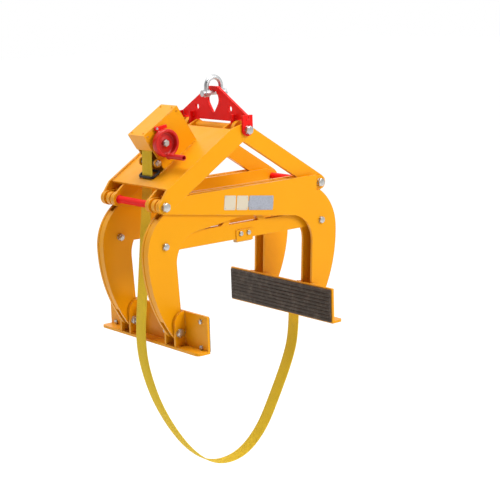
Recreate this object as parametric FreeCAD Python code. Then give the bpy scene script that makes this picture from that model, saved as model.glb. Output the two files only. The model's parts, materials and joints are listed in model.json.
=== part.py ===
"""Scissor lifting tongs for stone blocks, with a strap winch for a securing strap.

The origin is the inside of the shackle bow's crown, where a crane hook bears.
+X runs from the left jaw to the right jaw, +Y along the pivot bolts, +Z up.
All sizes are in millimetres.
"""
import FreeCAD
import Part
import math
import os

Vector = FreeCAD.Vector

# Main pivots, measured from the top pivot that both links hang on
grip_width = 470.0
top_pivot_below_pin = 105.0
knuckle_reach = 310.0
knuckle_drop = 196.0
centre_drop = 226.0
jaw_pivot_drop = 578.0

# Plate layers on each side, counted out from the middle of the side's pack
side_offset = 117.0
plate_thickness = 8.0
layer_gap = 1.0
right_link_thickness = 16.0

# Fits and shared clearances
running_clearance = 0.05
face_clearance = 0.3
cut_overrun = 5.0

# Fasteners
pivot_bolt_radius = 8.0
pivot_bolt_flats = 24.0
pivot_bolt_head = 10.0
pivot_nut_height = 13.0
arm_bolt_radius = 6.0
arm_bolt_flats = 19.0
arm_bolt_head = 7.5
arm_nut_height = 10.0
bolt_tail = 3.0
bolt_seat_in_tube = 25.0
pad_screw_radius = 4.0
pad_screw_flats = 13.0
pad_screw_head = 5.0

# Shackle
bow_inside_height = 40.0
bow_inside_width = 41.0
bow_bar_radius = 7.5
bow_eye_radius = 12.0
shackle_pin_radius = 7.0
shackle_head_radius = 10.0
shackle_head_height = 10.0
shackle_nut_flats = 21.0
shackle_nut_height = 11.0

# Suspension plate and its ears
suspension_thickness = 8.0
suspension_apex_half = 22.0
suspension_apex_rise = 20.0
suspension_apex_round = 16.0
suspension_shoulder_rise = 43.0
suspension_bridge_rise = 22.0
suspension_clearance_rise = 30.0
eye_radius = 27.0
eye_length = 68.0
eye_foot_radius = 7.0
rigging_hole_spacing = 164.0
rigging_hole_radius = 9.0
rigging_hole_rise = 59.0
ear_half_width = 18.5
ear_top_rise = 44.0
spacer_radius = 14.0
top_tube_radius = 15.0

# Links
knuckle_radius = 22.0
winch_link_outer_rise = 36.0
winch_link_inner_rise = 26.0
winch_link_inner_crown = 19.0
winch_link_shoulder = 46.0
winch_link_heel = 34.0
right_link_half_width = 26.0
cross_tube_radius = 11.0
knuckle_collar_radius = 20.0
knuckle_collar_width = 16.0

# Levers: beam and arm outline
notch_setback = 24.0
shoulder_setback = 9.0
shoulder_drop = 218.0
beam_top_drop = 169.0
arm_bulge = 94.0
arm_reach_drop = 342.0
arm_inner_setback = 3.5
throat_drop = 295.0
throat_radius = 90.0
belly_run = 158.0
belly_drop = 276.0
tip_radius = 19.0
tip_angle = -30.0
arm_bolt_inset = 63.0
arm_bolt_drop = 315.0
arm_spacer_radius = 10.0
web_thickness = 6.0
web_setback = 1.5
web_crown_share = 0.84
web_flank_share = 0.80
centre_pin_radius = 12.0
open_pivot_clearance = 5.0

# Blank data plates on the front beam
data_plate_thickness = 1.0
data_plate_small = 44.0
data_plate_large = 97.0
data_plate_gap = 4.0
data_plate_start = 84.0
data_plate_drop = 190.0
data_plate_slope = -7.0

# Jaws
jaw_length = 504.0
jaw_height = 112.0
jaw_below_pivot = 49.0
jaw_plate_thickness = 8.0
jaw_pivot_setback = 21.0
jaw_pad_thickness = 8.0
jaw_pad_margin = 4.0
shelf_depth = 38.0
shelf_corner = 14.0
cheek_clearance = 3.0
cheek_edge_height = 72.0
cheek_round_shares = (0.80, 0.72)
pad_screw_inset = 15.0
pad_screw_end_inset = 30.0
pad_screw_top_inset = 19.0
staple_reach = 12.0
staple_rise = 14.0
staple_rod_radius = 6.0
staple_lug_radius = 11.0
staple_side_gap = 3.0

# Depth stop
stop_bar_setback = 0.5
stop_bar_height = 48.0
stop_bar_thickness = 16.0
stop_bar_top_drop = 285.0
yoke_boss_radius = 20.0
yoke_foot_half = 88.0
yoke_leg_width = 30.0
yoke_arch_rise = 32.0
yoke_arch_half = 44.0
stop_pad_length = 64.0
stop_pad_height = 11.0
stop_bracket_height = 36.0
stop_bracket_thickness = 3.0
stop_bracket_drop = 8.0
stop_bolt_rise = 16.0
stop_bolt_spacing = 30.0

# Winch deck, housing and strap guide, placed along and above the winch link
deck_thickness = 6.0
deck_start = 40.0
deck_end = 326.0
slot_along = 289.0
slot_width = 62.0
slot_length = 20.0
guide_rod_radius = 4.0
guide_ring_setback = 12.0
guide_ring_half = 16.0
housing_start = 105.0
housing_end = 248.0
housing_rise = 160.0
housing_half_width = 40.0
housing_sheet = 3.0
housing_side = 4.0
front_lip = 56.0
drum_along = 209.0
drum_rise = 104.0
roller_along = 255.5
roller_rise = 63.0
roller_radius = 8.0
roller_lug_radius = 13.0
roller_neck_share = 0.8
roller_bolt_radius = 5.0
roller_bolt_flats = 17.0
roller_bolt_head = 7.0

# Winch rotor
shaft_radius = 8.0
drum_core_radius = 12.0
drum_flange_radius = 30.0
drum_flange_thickness = 3.0
roll_radius = 25.1
bush_radius = 12.0
bush_flange = 15.0
bush_flange_thickness = 2.0
ratchet_radius = 27.0
ratchet_root = 23.0
ratchet_teeth = 16
ratchet_thickness = 6.0
ratchet_gap = 3.0
wheel_radius = 42.0
wheel_depth = 20.0
wheel_wall = 4.0
wheel_rim = 9.0
wheel_gap = 2.0
wheel_nut_flats = 19.0
wheel_nut_height = 9.0
grip_radius = 8.0
grip_wall = 2.5
grip_length = 74.0
grip_orbit = 38.0
grip_angle = -88.0

# Pawl
pawl_orbit = 48.0
pawl_angle = 116.0
pawl_pin_radius = 4.0
pawl_boss_radius = 7.0
pawl_tab = 36.0
pawl_tab_width = 10.0
pawl_tab_angle = 8.0
pawl_tip_gap = 0.6

# Securing strap: flat webbing hanging in a loop under the jaws
strap_width = 50.0
strap_thickness = 3.0
strap_fillet_share = 0.45
strap_route = [
    (-259, -24), (-260, -128), (-318, -640), (-283, -784), (-226, -902), (-147, -1012),
    (-55, -1079), (55, -1079), (147, -1012), (216, -896), (268, -800), (297, -721), (301, -650.5),
]
strap_eye_length = 43.0

# Levels and places that follow from the sizes above
pin_z = -bow_inside_height
top_z = pin_z - top_pivot_below_pin
knuckle_z = top_z - knuckle_drop
centre_z = top_z - centre_drop
jaw_z = top_z - jaw_pivot_drop
arm_bolt_z = top_z - arm_bolt_drop
stop_bar_z = top_z - stop_bar_top_drop - stop_bar_height
pad_face = grip_width / 2
jaw_back = pad_face + jaw_pad_thickness + jaw_plate_thickness
jaw_pivot_reach = jaw_back + jaw_pivot_setback
arm_reach = jaw_pivot_reach + arm_bulge
arm_inner_reach = jaw_pivot_reach - arm_inner_setback
arm_bolt_reach = arm_reach - arm_bolt_inset
belly_reach = arm_inner_reach - belly_run
notch_reach = knuckle_reach - notch_setback
shoulder_reach = knuckle_reach - shoulder_setback
stop_bar_half = arm_inner_reach - stop_bar_setback
jaw_base_z = jaw_z - jaw_below_pivot
link_length = math.hypot(knuckle_reach, knuckle_drop)
along_x, along_z = -knuckle_reach / link_length, -knuckle_drop / link_length
rise_x, rise_z = along_z, -along_x

# Offsets of each layer's inner face from the middle of a side's pack
layer_step = plate_thickness + layer_gap
left_lever_layer = right_link_thickness / 2 + layer_gap
right_lever_layer = left_lever_layer + layer_step
winch_link_layer = right_lever_layer + layer_step
ear_layer = winch_link_layer + layer_step
inner_ear_layer = right_link_thickness / 2 + layer_gap
hole = pivot_bolt_radius + running_clearance

parts = {}


def at(place, y=0.0):
    """A point in space from an (x, z) place."""
    return Vector(place[0], y, place[1])


def line(start, end):
    return Part.makeLine(at(start), at(end))


def arc(start, middle, end):
    return Part.Arc(at(start), at(middle), at(end)).toShape()


def mix(start, end, share):
    return start + (end - start) * share


def on_circle(centre, radius, angle):
    turn = math.radians(angle)
    return centre[0] + radius * math.cos(turn), centre[1] + radius * math.sin(turn)


def plate(edges, low_y, thickness):
    """A flat plate from a closed outline in the XZ plane."""
    face = Part.Face(Part.Wire(edges))
    return face.extrude(Vector(0, thickness, 0)).translated(Vector(0, low_y, 0))


def polygon_plate(places, low_y, thickness):
    closed = places + places[:1]
    return plate([line(a, b) for a, b in zip(closed, closed[1:])], low_y, thickness)


def rod(place, radius, low_y, high_y):
    """A cylinder along Y."""
    return Part.makeCylinder(radius, high_y - low_y, at(place, low_y), Vector(0, 1, 0))


def tube(place, outer, inner, low_y, high_y):
    return rod(place, outer, low_y, high_y).cut(rod(place, inner, low_y - cut_overrun, high_y + cut_overrun))


def hexagon(place, flats, low_y, high_y):
    radius = flats / math.sqrt(3)
    corners = [on_circle(place, radius, 60 * k + 30) for k in range(6)]
    return polygon_plate(corners, low_y, high_y - low_y)


def span(side, near, far):
    """A Y range from two distances on one side, lowest first."""
    return sorted((side * near, side * far))


def drill(shape, place, radius):
    reach = side_offset * 2
    return shape.cut(rod(place, radius, -reach, reach))


def outer_low(layer, side, thickness=plate_thickness):
    """Low Y of the layer's plate that faces away from the middle of the tongs."""
    return span(side, side_offset + layer, side_offset + layer + thickness)[0]


def inner_low(layer, side, thickness=plate_thickness):
    """Low Y of the layer's plate that faces the middle of the tongs."""
    return span(side, side_offset - layer - thickness, side_offset - layer)[0]


def bolt(place, radius, flats, head, seat, tip, side):
    """A hexagon bolt whose head seats at distance seat, with its shank running in to distance tip."""
    shank = rod(place, radius, *span(side, tip, seat))
    return shank.fuse(hexagon(place, flats, *span(side, seat, seat + head))).removeSplitter()


def nut(place, radius, flats, seat, height, side):
    """A nut that seats at distance seat and stands towards the middle of the tongs."""
    body = hexagon(place, flats, *span(side, seat - height, seat))
    return drill(body, place, radius + running_clearance)


def both(make):
    """The same piece on the near and the far side."""
    return [make(side) for side in (-1, 1)]


def add(name, *shapes):
    """Stores one node as a compound of separate solids."""
    solids = [solid for shape in shapes for solid in shape.Solids]
    parts[name] = Part.makeCompound(solids)


def link_place(along, rise):
    """An (x, z) place given along and above the line from the top pivot to the left knuckle."""
    return along * along_x + rise * rise_x, top_z + along * along_z + rise * rise_z


top = (0.0, top_z)
left_knuckle = (-knuckle_reach, knuckle_z)
right_knuckle = (knuckle_reach, knuckle_z)
centre = (0.0, centre_z)
drum = link_place(drum_along, drum_rise)


# Shackle

def shackle():
    leg = bow_inside_width / 2 + bow_bar_radius
    crown_z = bow_bar_radius - leg
    crown = Part.makeTorus(leg, bow_bar_radius, Vector(0, 0, crown_z), Vector(0, 1, 0))
    box = 2 * (leg + bow_bar_radius)
    below = Part.makeBox(box, box, box, Vector(-box / 2, -box / 2, crown_z - box))
    bow = crown.cut(below)
    eye = bow_bar_radius * 2
    for side in (-1, 1):
        start = bow_inside_width / 2 if side > 0 else -bow_inside_width / 2 - eye
        bow = bow.fuse(Part.makeCylinder(bow_bar_radius, crown_z - pin_z, Vector(side * leg, 0, pin_z)))
        bow = bow.fuse(Part.makeCylinder(bow_eye_radius, eye, Vector(start, 0, pin_z), Vector(1, 0, 0)))
    outside = bow_inside_width / 2 + eye
    bore = shackle_pin_radius + running_clearance
    bow = bow.cut(Part.makeCylinder(bore, 2 * box, Vector(-box, 0, pin_z), Vector(1, 0, 0)))
    add("shackle_bow", bow)
    tail = outside + shackle_nut_height + bolt_tail
    pin = Part.makeCylinder(shackle_pin_radius, outside + tail, Vector(-outside, 0, pin_z), Vector(1, 0, 0))
    head_start = Vector(-outside - shackle_head_height, 0, pin_z)
    head = Part.makeCylinder(shackle_head_radius, shackle_head_height, head_start, Vector(1, 0, 0))
    corner = shackle_nut_flats / math.sqrt(3)
    points = [Vector(outside, *on_circle((0, pin_z), corner, 60 * k)) for k in range(7)]
    body = Part.Face(Part.makePolygon(points)).extrude(Vector(shackle_nut_height, 0, 0))
    inside = Part.makeCylinder(bore, 2 * box, Vector(0, 0, pin_z), Vector(1, 0, 0))
    add("shackle_pin", pin.fuse(head).removeSplitter(), body.cut(inside))


# Suspension plate, ears and top pivots

def suspension():
    ear_outer = side_offset + ear_layer + plate_thickness
    ear_inner = side_offset - inner_ear_layer - plate_thickness
    apex_z = pin_z + suspension_apex_rise
    shoulder_z = top_z + suspension_shoulder_rise
    clear_z = top_z + suspension_clearance_rise
    bridge_z = top_z + suspension_bridge_rise
    half = [
        (0.0, apex_z), (suspension_apex_half, apex_z), (ear_outer, shoulder_z), (ear_outer, clear_z),
        (ear_inner, clear_z), (ear_inner, bridge_z), (0.0, bridge_z),
    ]
    outline = half + [(-y, z) for y, z in reversed(half[1:-1])]
    points = [Vector(-suspension_thickness / 2, y, z) for y, z in outline + outline[:1]]
    body = Part.Face(Part.makePolygon(points)).extrude(Vector(suspension_thickness, 0, 0))
    apex_edges = [
        e for e in body.Edges
        if abs(e.BoundBox.ZMin - apex_z) < face_clearance and e.BoundBox.XLength > face_clearance
        and e.BoundBox.ZLength < face_clearance and e.BoundBox.YLength < face_clearance
    ]
    body = body.makeFillet(suspension_apex_round, apex_edges)
    body = body.cut(teardrop())
    deep = suspension_thickness * 2
    for side in (-1, 1):
        place = Vector(-deep, side * rigging_hole_spacing / 2, top_z + rigging_hole_rise)
        body = body.cut(Part.makeCylinder(rigging_hole_radius, 2 * deep, place, Vector(1, 0, 0)))
    add("suspension_plate", body)
    add("clevis_ears", *[ear(low) for low in ear_lows()])
    tube_end = side_offset - winch_link_layer - plate_thickness - face_clearance
    add("top_pivot_bolts", *both(lambda side: bolt(
        top, pivot_bolt_radius, pivot_bolt_flats, pivot_bolt_head, ear_outer,
        tube_end - bolt_seat_in_tube, side)))
    near, far = right_link_thickness / 2 + face_clearance, winch_link_layer - face_clearance
    behind_ear = inner_ear_layer + plate_thickness + face_clearance
    spacers = [tube(top, top_tube_radius, hole, -tube_end, tube_end)]
    for side in (-1, 1):
        for low, high in ((near, far), (-far, -behind_ear)):
            ends = span(side, side_offset + low, side_offset + high)
            spacers.append(tube(top, spacer_radius, hole, *ends))
    add("top_pivot_spacers", *spacers)


def teardrop():
    """The lifting eye: a round crown that rests on the shackle pin, tapering to a small round foot."""
    top_edge = pin_z + shackle_pin_radius + running_clearance
    crown = (0.0, top_edge - eye_radius)
    foot = (0.0, top_edge - eye_length + eye_foot_radius)
    lean = math.degrees(math.asin((eye_radius - eye_foot_radius) / (crown[1] - foot[1])))
    arcs = []
    for middle, radius, first, centre_angle, last in (
        (crown, eye_radius, -lean, 90, 180 + lean), (foot, eye_foot_radius, 180 + lean, 270, 360 - lean),
    ):
        arcs.append([on_circle(middle, radius, angle) for angle in (first, centre_angle, last)])
    start = -suspension_thickness
    edges = [Part.Arc(*[Vector(start, y, z) for y, z in points]).toShape() for points in arcs]
    for a, b in ((arcs[0][2], arcs[1][0]), (arcs[1][2], arcs[0][0])):
        edges.append(Part.makeLine(Vector(start, *a), Vector(start, *b)))
    face = Part.Face(Part.Wire(Part.__sortEdges__(edges)))
    return face.extrude(Vector(2 * suspension_thickness, 0, 0))


def ear_lows():
    return [low for side in (-1, 1) for low in (outer_low(ear_layer, side), inner_low(inner_ear_layer, side))]


def ear(low):
    """One ear of the clevis: a round foot about the top pivot, slotted over the suspension plate."""
    upper = top_z + ear_top_rise
    left, right = -ear_half_width, ear_half_width
    edges = [
        line((left, top_z), (left, upper)), line((left, upper), (right, upper)),
        line((right, upper), (right, top_z)),
        arc((right, top_z), (0, top_z - ear_half_width), (left, top_z)),
    ]
    shape = drill(plate(edges, low, plate_thickness), top, hole)
    return shape.cut(parts["suspension_plate"])


# Winch link: side plates, deck, cross tube and knuckle bolts

def winch_link_plate(low, rise, crown):
    """A strap plate with round ends at the top pivot and the left knuckle, raised towards the deck."""
    heel = link_length - winch_link_heel
    edges = [
        line(link_place(0, -crown), link_place(link_length, -knuckle_radius)),
        arc(link_place(link_length, -knuckle_radius), link_place(link_length + knuckle_radius, 0),
            link_place(link_length, knuckle_radius)),
        line(link_place(link_length, knuckle_radius), link_place(heel, rise)),
        line(link_place(heel, rise), link_place(winch_link_shoulder, rise)),
        line(link_place(winch_link_shoulder, rise), link_place(0, crown)),
        arc(link_place(0, crown), link_place(-crown, 0), link_place(0, -crown)),
    ]
    shape = plate(edges, low, plate_thickness)
    return drill(drill(shape, top, hole), left_knuckle, hole)


def winch_link():
    outer = side_offset + winch_link_layer
    inner = side_offset - winch_link_layer - plate_thickness
    add("winch_link_outer_plates", *both(lambda side: winch_link_plate(
        outer_low(winch_link_layer, side), winch_link_outer_rise, knuckle_radius)))
    add("winch_link_inner_plates", *both(lambda side: winch_link_plate(
        inner_low(winch_link_layer, side), winch_link_inner_rise, winch_link_inner_crown)))
    deck = polygon_plate([
        link_place(deck_start, winch_link_inner_rise), link_place(deck_end, winch_link_inner_rise),
        link_place(deck_end, winch_link_inner_rise + deck_thickness),
        link_place(deck_start, winch_link_inner_rise + deck_thickness),
    ], -outer, 2 * outer)
    add("winch_deck", deck.cut(strap_slot()))
    add("left_cross_tube", tube(left_knuckle, cross_tube_radius, hole, -inner, inner))
    add("left_knuckle_bolts", *both(lambda side: bolt(
        left_knuckle, pivot_bolt_radius, pivot_bolt_flats, pivot_bolt_head, outer + plate_thickness,
        inner - bolt_seat_in_tube, side)))
    half = right_lever_layer - face_clearance
    add("left_knuckle_spacers", *both(lambda side: knuckle_spacer(side, half)))


def knuckle_spacer(side, half):
    """A spacer between the lever's plates at the left knuckle, with a wide collar in its middle."""
    body = rod(left_knuckle, spacer_radius, *span(side, side_offset - half, side_offset + half))
    wide = knuckle_collar_width / 2
    collar = rod(left_knuckle, knuckle_collar_radius, *span(side, side_offset - wide, side_offset + wide))
    return drill(body.fuse(collar).removeSplitter(), left_knuckle, hole)


def strap_slot():
    """The slot that lets the strap down through the deck."""
    base, high = winch_link_inner_rise - cut_overrun, winch_link_inner_rise + deck_thickness + cut_overrun
    first, last = slot_along - slot_length / 2, slot_along + slot_length / 2
    corners = [(first, base), (last, base), (last, high), (first, high)]
    return polygon_plate([link_place(*corner) for corner in corners], -slot_width / 2, slot_width)


# Winch housing, guide ring, roller and bushes

def deck_top():
    return winch_link_inner_rise + deck_thickness


def winch_housing():
    side_low = housing_half_width - housing_side
    crest, sheet = housing_rise, housing_sheet
    outline = [
        link_place(housing_start, deck_top()), link_place(housing_end, deck_top()),
        link_place(housing_end, crest - sheet), link_place(housing_start, crest - sheet),
    ]
    roller = link_place(roller_along, roller_rise)
    neck_low, neck_high = (roller_rise + hand * roller_neck_share * roller_lug_radius for hand in (-1, 1))
    neck = [
        link_place(housing_start, neck_low), link_place(roller_along, neck_low),
        link_place(roller_along, neck_high), link_place(housing_start, neck_high),
    ]

    def side_plate(side):
        low = span(side, side_low, housing_half_width)[0]
        shape = polygon_plate(outline, low, housing_side).fuse(polygon_plate(neck, low, housing_side))
        lug = rod(roller, roller_lug_radius, *span(side, side_low, housing_half_width))
        shape = drill(shape.fuse(lug).removeSplitter(), drum, bush_radius + running_clearance)
        return drill(shape, roller, roller_bolt_radius + running_clearance)

    add("winch_side_plates", *both(side_plate))
    back, front = housing_start - sheet, housing_end + sheet
    cover = [
        link_place(back, deck_top()), link_place(housing_start, deck_top()),
        link_place(housing_start, crest - sheet), link_place(housing_end, crest - sheet),
        link_place(housing_end, crest - front_lip), link_place(front, crest - front_lip),
        link_place(front, crest), link_place(back, crest),
    ]
    add("winch_cover", polygon_plate(cover, -housing_half_width, 2 * housing_half_width))
    add("guide_roller", tube(roller, roller_radius, roller_bolt_radius + running_clearance,
                             -side_low + face_clearance, side_low - face_clearance))
    seat = housing_half_width
    shank = rod(roller, roller_bolt_radius, -seat, seat + housing_side)
    add("guide_roller_bolt", shank.fuse(hexagon(roller, roller_bolt_flats, -seat - roller_bolt_head, -seat)))
    add("winch_bushes", *both(lambda side: bush(side)))


def bush(side):
    """A flanged bush that carries the winch shaft in one side plate."""
    face = housing_half_width
    barrel = rod(drum, bush_radius, *span(side, face - housing_side, face))
    flange = rod(drum, bush_flange, *span(side, face, face + bush_flange_thickness))
    return drill(barrel.fuse(flange).removeSplitter(), drum, shaft_radius + running_clearance)


def guide_ring():
    """A round-rod ring that lies on the deck, with the strap against its front bar."""
    r = guide_rod_radius
    middle = slot_along - guide_ring_setback
    half_along, half_y = guide_ring_half, slot_width / 2 + r
    bend = half_along / 2
    lift = deck_top() + r

    def place(along, y):
        return at(link_place(middle + along, lift), y)

    edges = []
    corner = bend * (1 - math.sqrt(0.5))
    for a, b in ((1, 1), (-1, 1), (-1, -1), (1, -1)):
        side_end, y_end = a * (half_along - bend), b * (half_y - bend)
        bow = [
            place(a * half_along, y_end), place(a * (half_along - corner), b * (half_y - corner)),
            place(side_end, b * half_y),
        ]
        edges.append(Part.Arc(*bow).toShape())
    flat_along, flat_y = half_along - bend, half_y - bend
    for sign in (-1, 1):
        edges.append(Part.makeLine(place(sign * half_along, -flat_y), place(sign * half_along, flat_y)))
        edges.append(Part.makeLine(place(-flat_along, sign * half_y), place(flat_along, sign * half_y)))
    path = Part.Wire(Part.__sortEdges__(edges))
    first = path.OrderedEdges[0]
    begin = first.valueAt(first.FirstParameter)
    section = Part.Wire(Part.makeCircle(r, begin, first.tangentAt(first.FirstParameter)))
    pipe = Part.BRepOffsetAPI.MakePipeShell(path)
    pipe.add(section, False, False)
    pipe.build()
    pipe.makeSolid()
    add("strap_guide_ring", pipe.shape())


# Winch rotor: shaft, drum, strap roll, ratchet and hand wheel

def rotor_faces():
    """Distances of the ratchet and wheel faces, out from the middle on the near side."""
    ratchet_low = housing_half_width + ratchet_gap
    ratchet_high = ratchet_low + ratchet_thickness
    wheel_low = ratchet_high + wheel_gap
    return ratchet_low, ratchet_high, wheel_low, wheel_low + wheel_depth


def winch_rotor():
    inside = housing_half_width - housing_side - face_clearance
    ratchet_low, ratchet_high, wheel_low, wheel_high = rotor_faces()
    shaft_end = wheel_low + wheel_wall + wheel_nut_height + bolt_tail
    far_end = housing_half_width + bush_flange_thickness + bolt_tail
    bore = shaft_radius + running_clearance
    seat = wheel_low + wheel_wall
    wheel_nut = drill(hexagon(drum, wheel_nut_flats, -seat - wheel_nut_height, -seat), drum, bore)
    add("winch_shaft", rod(drum, shaft_radius, -shaft_end, far_end), wheel_nut)
    spool = rod(drum, drum_core_radius, -inside, inside)
    for side in (-1, 1):
        spool = spool.fuse(rod(drum, drum_flange_radius, *span(side, inside - drum_flange_thickness, inside)))
    add("strap_drum", drill(spool.removeSplitter(), drum, bore))
    half = strap_width / 2
    add("strap_roll", tube(drum, roll_radius, drum_core_radius + running_clearance, -half, half))
    add("ratchet_wheel", ratchet(-ratchet_high, bore))
    add("hand_wheel", hand_wheel(wheel_low, wheel_high, bore))
    grip = on_circle(drum, grip_orbit, grip_angle)
    bore = grip_radius - grip_wall
    add("crank_grip", tube(grip, grip_radius, bore, -wheel_high - grip_length, -wheel_high))


def ratchet(low, bore):
    step = 360.0 / ratchet_teeth
    places = []
    for k in range(ratchet_teeth):
        places.append(on_circle(drum, ratchet_root, k * step))
        places.append(on_circle(drum, ratchet_radius, k * step))
    return drill(polygon_plate(places, low, ratchet_thickness), drum, bore)


def hand_wheel(low, high, bore):
    """A dished wheel: a closed back, a deep rim that is open to the front and a hub."""
    body = rod(drum, wheel_radius, -high, -low)
    dish = rod(drum, wheel_radius - wheel_rim, -high - cut_overrun, -low - wheel_wall)
    outer_edges = [e for e in body.Edges if e.Length > wheel_radius * math.pi]
    body = body.makeFillet(wheel_wall / 2, outer_edges)
    return drill(body.cut(dish), drum, bore)


# Ratchet pawl

def pawl():
    ratchet_low, ratchet_high, _, _ = rotor_faces()
    pivot = on_circle(drum, pawl_orbit, pawl_angle)
    seat = housing_half_width
    add("pawl_pin", rod(pivot, pawl_pin_radius, -ratchet_high - wheel_gap / 2, -seat))
    tip = on_circle(drum, ratchet_radius + pawl_tip_gap, pawl_angle - 360.0 / ratchet_teeth)
    toward = math.degrees(math.atan2(tip[1] - pivot[1], tip[0] - pivot[0]))
    nose = [
        on_circle(pivot, pawl_boss_radius, toward + 90), on_circle(pivot, pawl_boss_radius, toward - 90), tip,
    ]
    body = polygon_plate(nose, -ratchet_high, ratchet_thickness)
    body = body.fuse(rod(pivot, pawl_boss_radius, -ratchet_high, -ratchet_low))
    root = [on_circle(pivot, pawl_tab_width / 2, pawl_tab_angle + turn) for turn in (90, -90)]
    reach = on_circle((0, 0), pawl_tab, pawl_tab_angle)
    tab = root + [(x + reach[0], z + reach[1]) for x, z in reversed(root)]
    body = body.fuse(polygon_plate(tab, -ratchet_high, ratchet_thickness)).removeSplitter()
    add("ratchet_pawl", drill(body, pivot, pawl_pin_radius + running_clearance))


# Right link

def right_link():
    half = right_link_thickness / 2
    top_side, knuckle_side = top, right_knuckle
    lean = math.degrees(math.atan2(knuckle_z - top_z, knuckle_reach))
    r = right_link_half_width
    edges = []
    for place, angle in ((top_side, lean + 180), (knuckle_side, lean)):
        edges.append(arc(*[on_circle(place, r, angle + turn) for turn in (-90, 0, 90)]))
    edges.append(line(on_circle(top_side, r, lean + 90), on_circle(knuckle_side, r, lean + 90)))
    edges.append(line(on_circle(top_side, r, lean - 90), on_circle(knuckle_side, r, lean - 90)))

    def bar(side):
        low = span(side, side_offset - half, side_offset + half)[0]
        shape = plate(Part.__sortEdges__(edges), low, right_link_thickness)
        return drill(drill(shape, top, hole), right_knuckle, hole)

    add("right_link_bars", *both(bar))
    inner = side_offset - left_lever_layer - plate_thickness - face_clearance
    outer = side_offset + left_lever_layer + plate_thickness
    add("right_cross_tube", tube(right_knuckle, cross_tube_radius, hole, -inner, inner))
    add("right_knuckle_bolts", *both(lambda side: bolt(
        right_knuckle, pivot_bolt_radius, pivot_bolt_flats, pivot_bolt_head, outer,
        inner - bolt_seat_in_tube, side)))


# Levers

def arm_arcs():
    """Centres and radii of the arm's crown and flank, which meet upright at its widest point."""
    widest_z = top_z - arm_reach_drop
    tip = on_circle((jaw_pivot_reach, jaw_z), tip_radius, tip_angle)
    found = []
    for reach, level in ((shoulder_reach, top_z - shoulder_drop), tip):
        across, height = arm_reach - reach, level - widest_z
        radius = (across ** 2 + height ** 2) / (2 * across)
        middle = (arm_reach - radius, widest_z)
        found.append((middle, radius, math.degrees(math.atan2(height, reach - middle[0]))))
    return found


def rounded(before, corner, after, radius):
    """Start, middle and end of the arc that rounds a corner between two straight edges."""
    ways = []
    for place in (before, after):
        dx, dz = place[0] - corner[0], place[1] - corner[1]
        ways.append((dx / math.hypot(dx, dz), dz / math.hypot(dx, dz)))
    (ax, az), (bx, bz) = ways
    half = math.acos(ax * bx + az * bz) / 2
    reach, depth = radius / math.tan(half), radius / math.sin(half) - radius
    middle = math.hypot(ax + bx, az + bz)
    return (
        (corner[0] + ax * reach, corner[1] + az * reach),
        (corner[0] + (ax + bx) / middle * depth, corner[1] + (az + bz) / middle * depth),
        (corner[0] + bx * reach, corner[1] + bz * reach),
    )


def lever_edges(hand):
    """Outline of a lever whose arm is on the right for hand +1 and on the left for hand -1."""
    def side(place):
        return hand * place[0], place[1]

    (crown, crown_r, crown_a), (flank, flank_r, flank_a) = arm_arcs()
    tail = (-knuckle_reach, knuckle_z)
    shoulder_z, beam_z = top_z - shoulder_drop, top_z - beam_top_drop
    jaw = (jaw_pivot_reach, jaw_z)
    belly = (belly_reach, top_z - belly_drop)
    r = knuckle_radius
    tip_start, tip_end = on_circle(jaw, tip_radius, tip_angle), on_circle(jaw, tip_radius, -180)
    tip_middle = on_circle(jaw, tip_radius, (tip_angle - 180) / 2)
    widest = on_circle(crown, crown_r, 0)
    throat = rounded(tip_end, (arm_inner_reach, top_z - throat_drop), belly, throat_radius)
    runs = [
        ((tail[0], tail[1] - r), (tail[0] - r, tail[1]), (tail[0], tail[1] + r)),
        ((tail[0], tail[1] + r), (notch_reach, beam_z)),
        ((notch_reach, beam_z), (notch_reach, shoulder_z)),
        ((notch_reach, shoulder_z), on_circle(crown, crown_r, crown_a)),
        (on_circle(crown, crown_r, crown_a), on_circle(crown, crown_r, crown_a / 2), widest),
        (widest, on_circle(flank, flank_r, flank_a / 2), tip_start),
        (tip_start, tip_middle, tip_end),
        (tip_end, throat[0]),
        throat,
        (throat[2], belly),
        (belly, (tail[0], tail[1] - r)),
    ]
    return [(arc if len(run) == 3 else line)(*[side(place) for place in run]) for run in runs]


def lever_plate(hand, low, centre_hole):
    shape = plate(lever_edges(hand), low, plate_thickness)
    shape = drill(shape, (-hand * knuckle_reach, knuckle_z), hole)
    shape = drill(shape, (hand * jaw_pivot_reach, jaw_z), hole)
    shape = drill(shape, (hand * arm_bolt_reach, arm_bolt_z), arm_bolt_radius + running_clearance)
    return drill(shape, centre, centre_hole)


def arm_web(hand, layer, side):
    """The curved strip that joins an arm's two plates just inside its outer edge."""
    low, high = span(side, side_offset - layer, side_offset + layer)
    shape = None
    for (middle, radius, angle), share in zip(arm_arcs(), (web_crown_share, web_flank_share)):
        outer, inner = radius - web_setback, radius - web_setback - web_thickness
        end = angle * share
        corners = [[on_circle(middle, r, a) for a in (0, end / 2, end)] for r in (outer, inner)]
        corners = [[(hand * x, z) for x, z in row] for row in corners]
        edges = [
            arc(*corners[0]), line(corners[0][2], corners[1][2]), arc(*reversed(corners[1])),
            line(corners[1][0], corners[0][0]),
        ]
        strip = plate(edges, low, high - low)
        shape = strip if shape is None else shape.fuse(strip).removeSplitter()
    return shape


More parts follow.
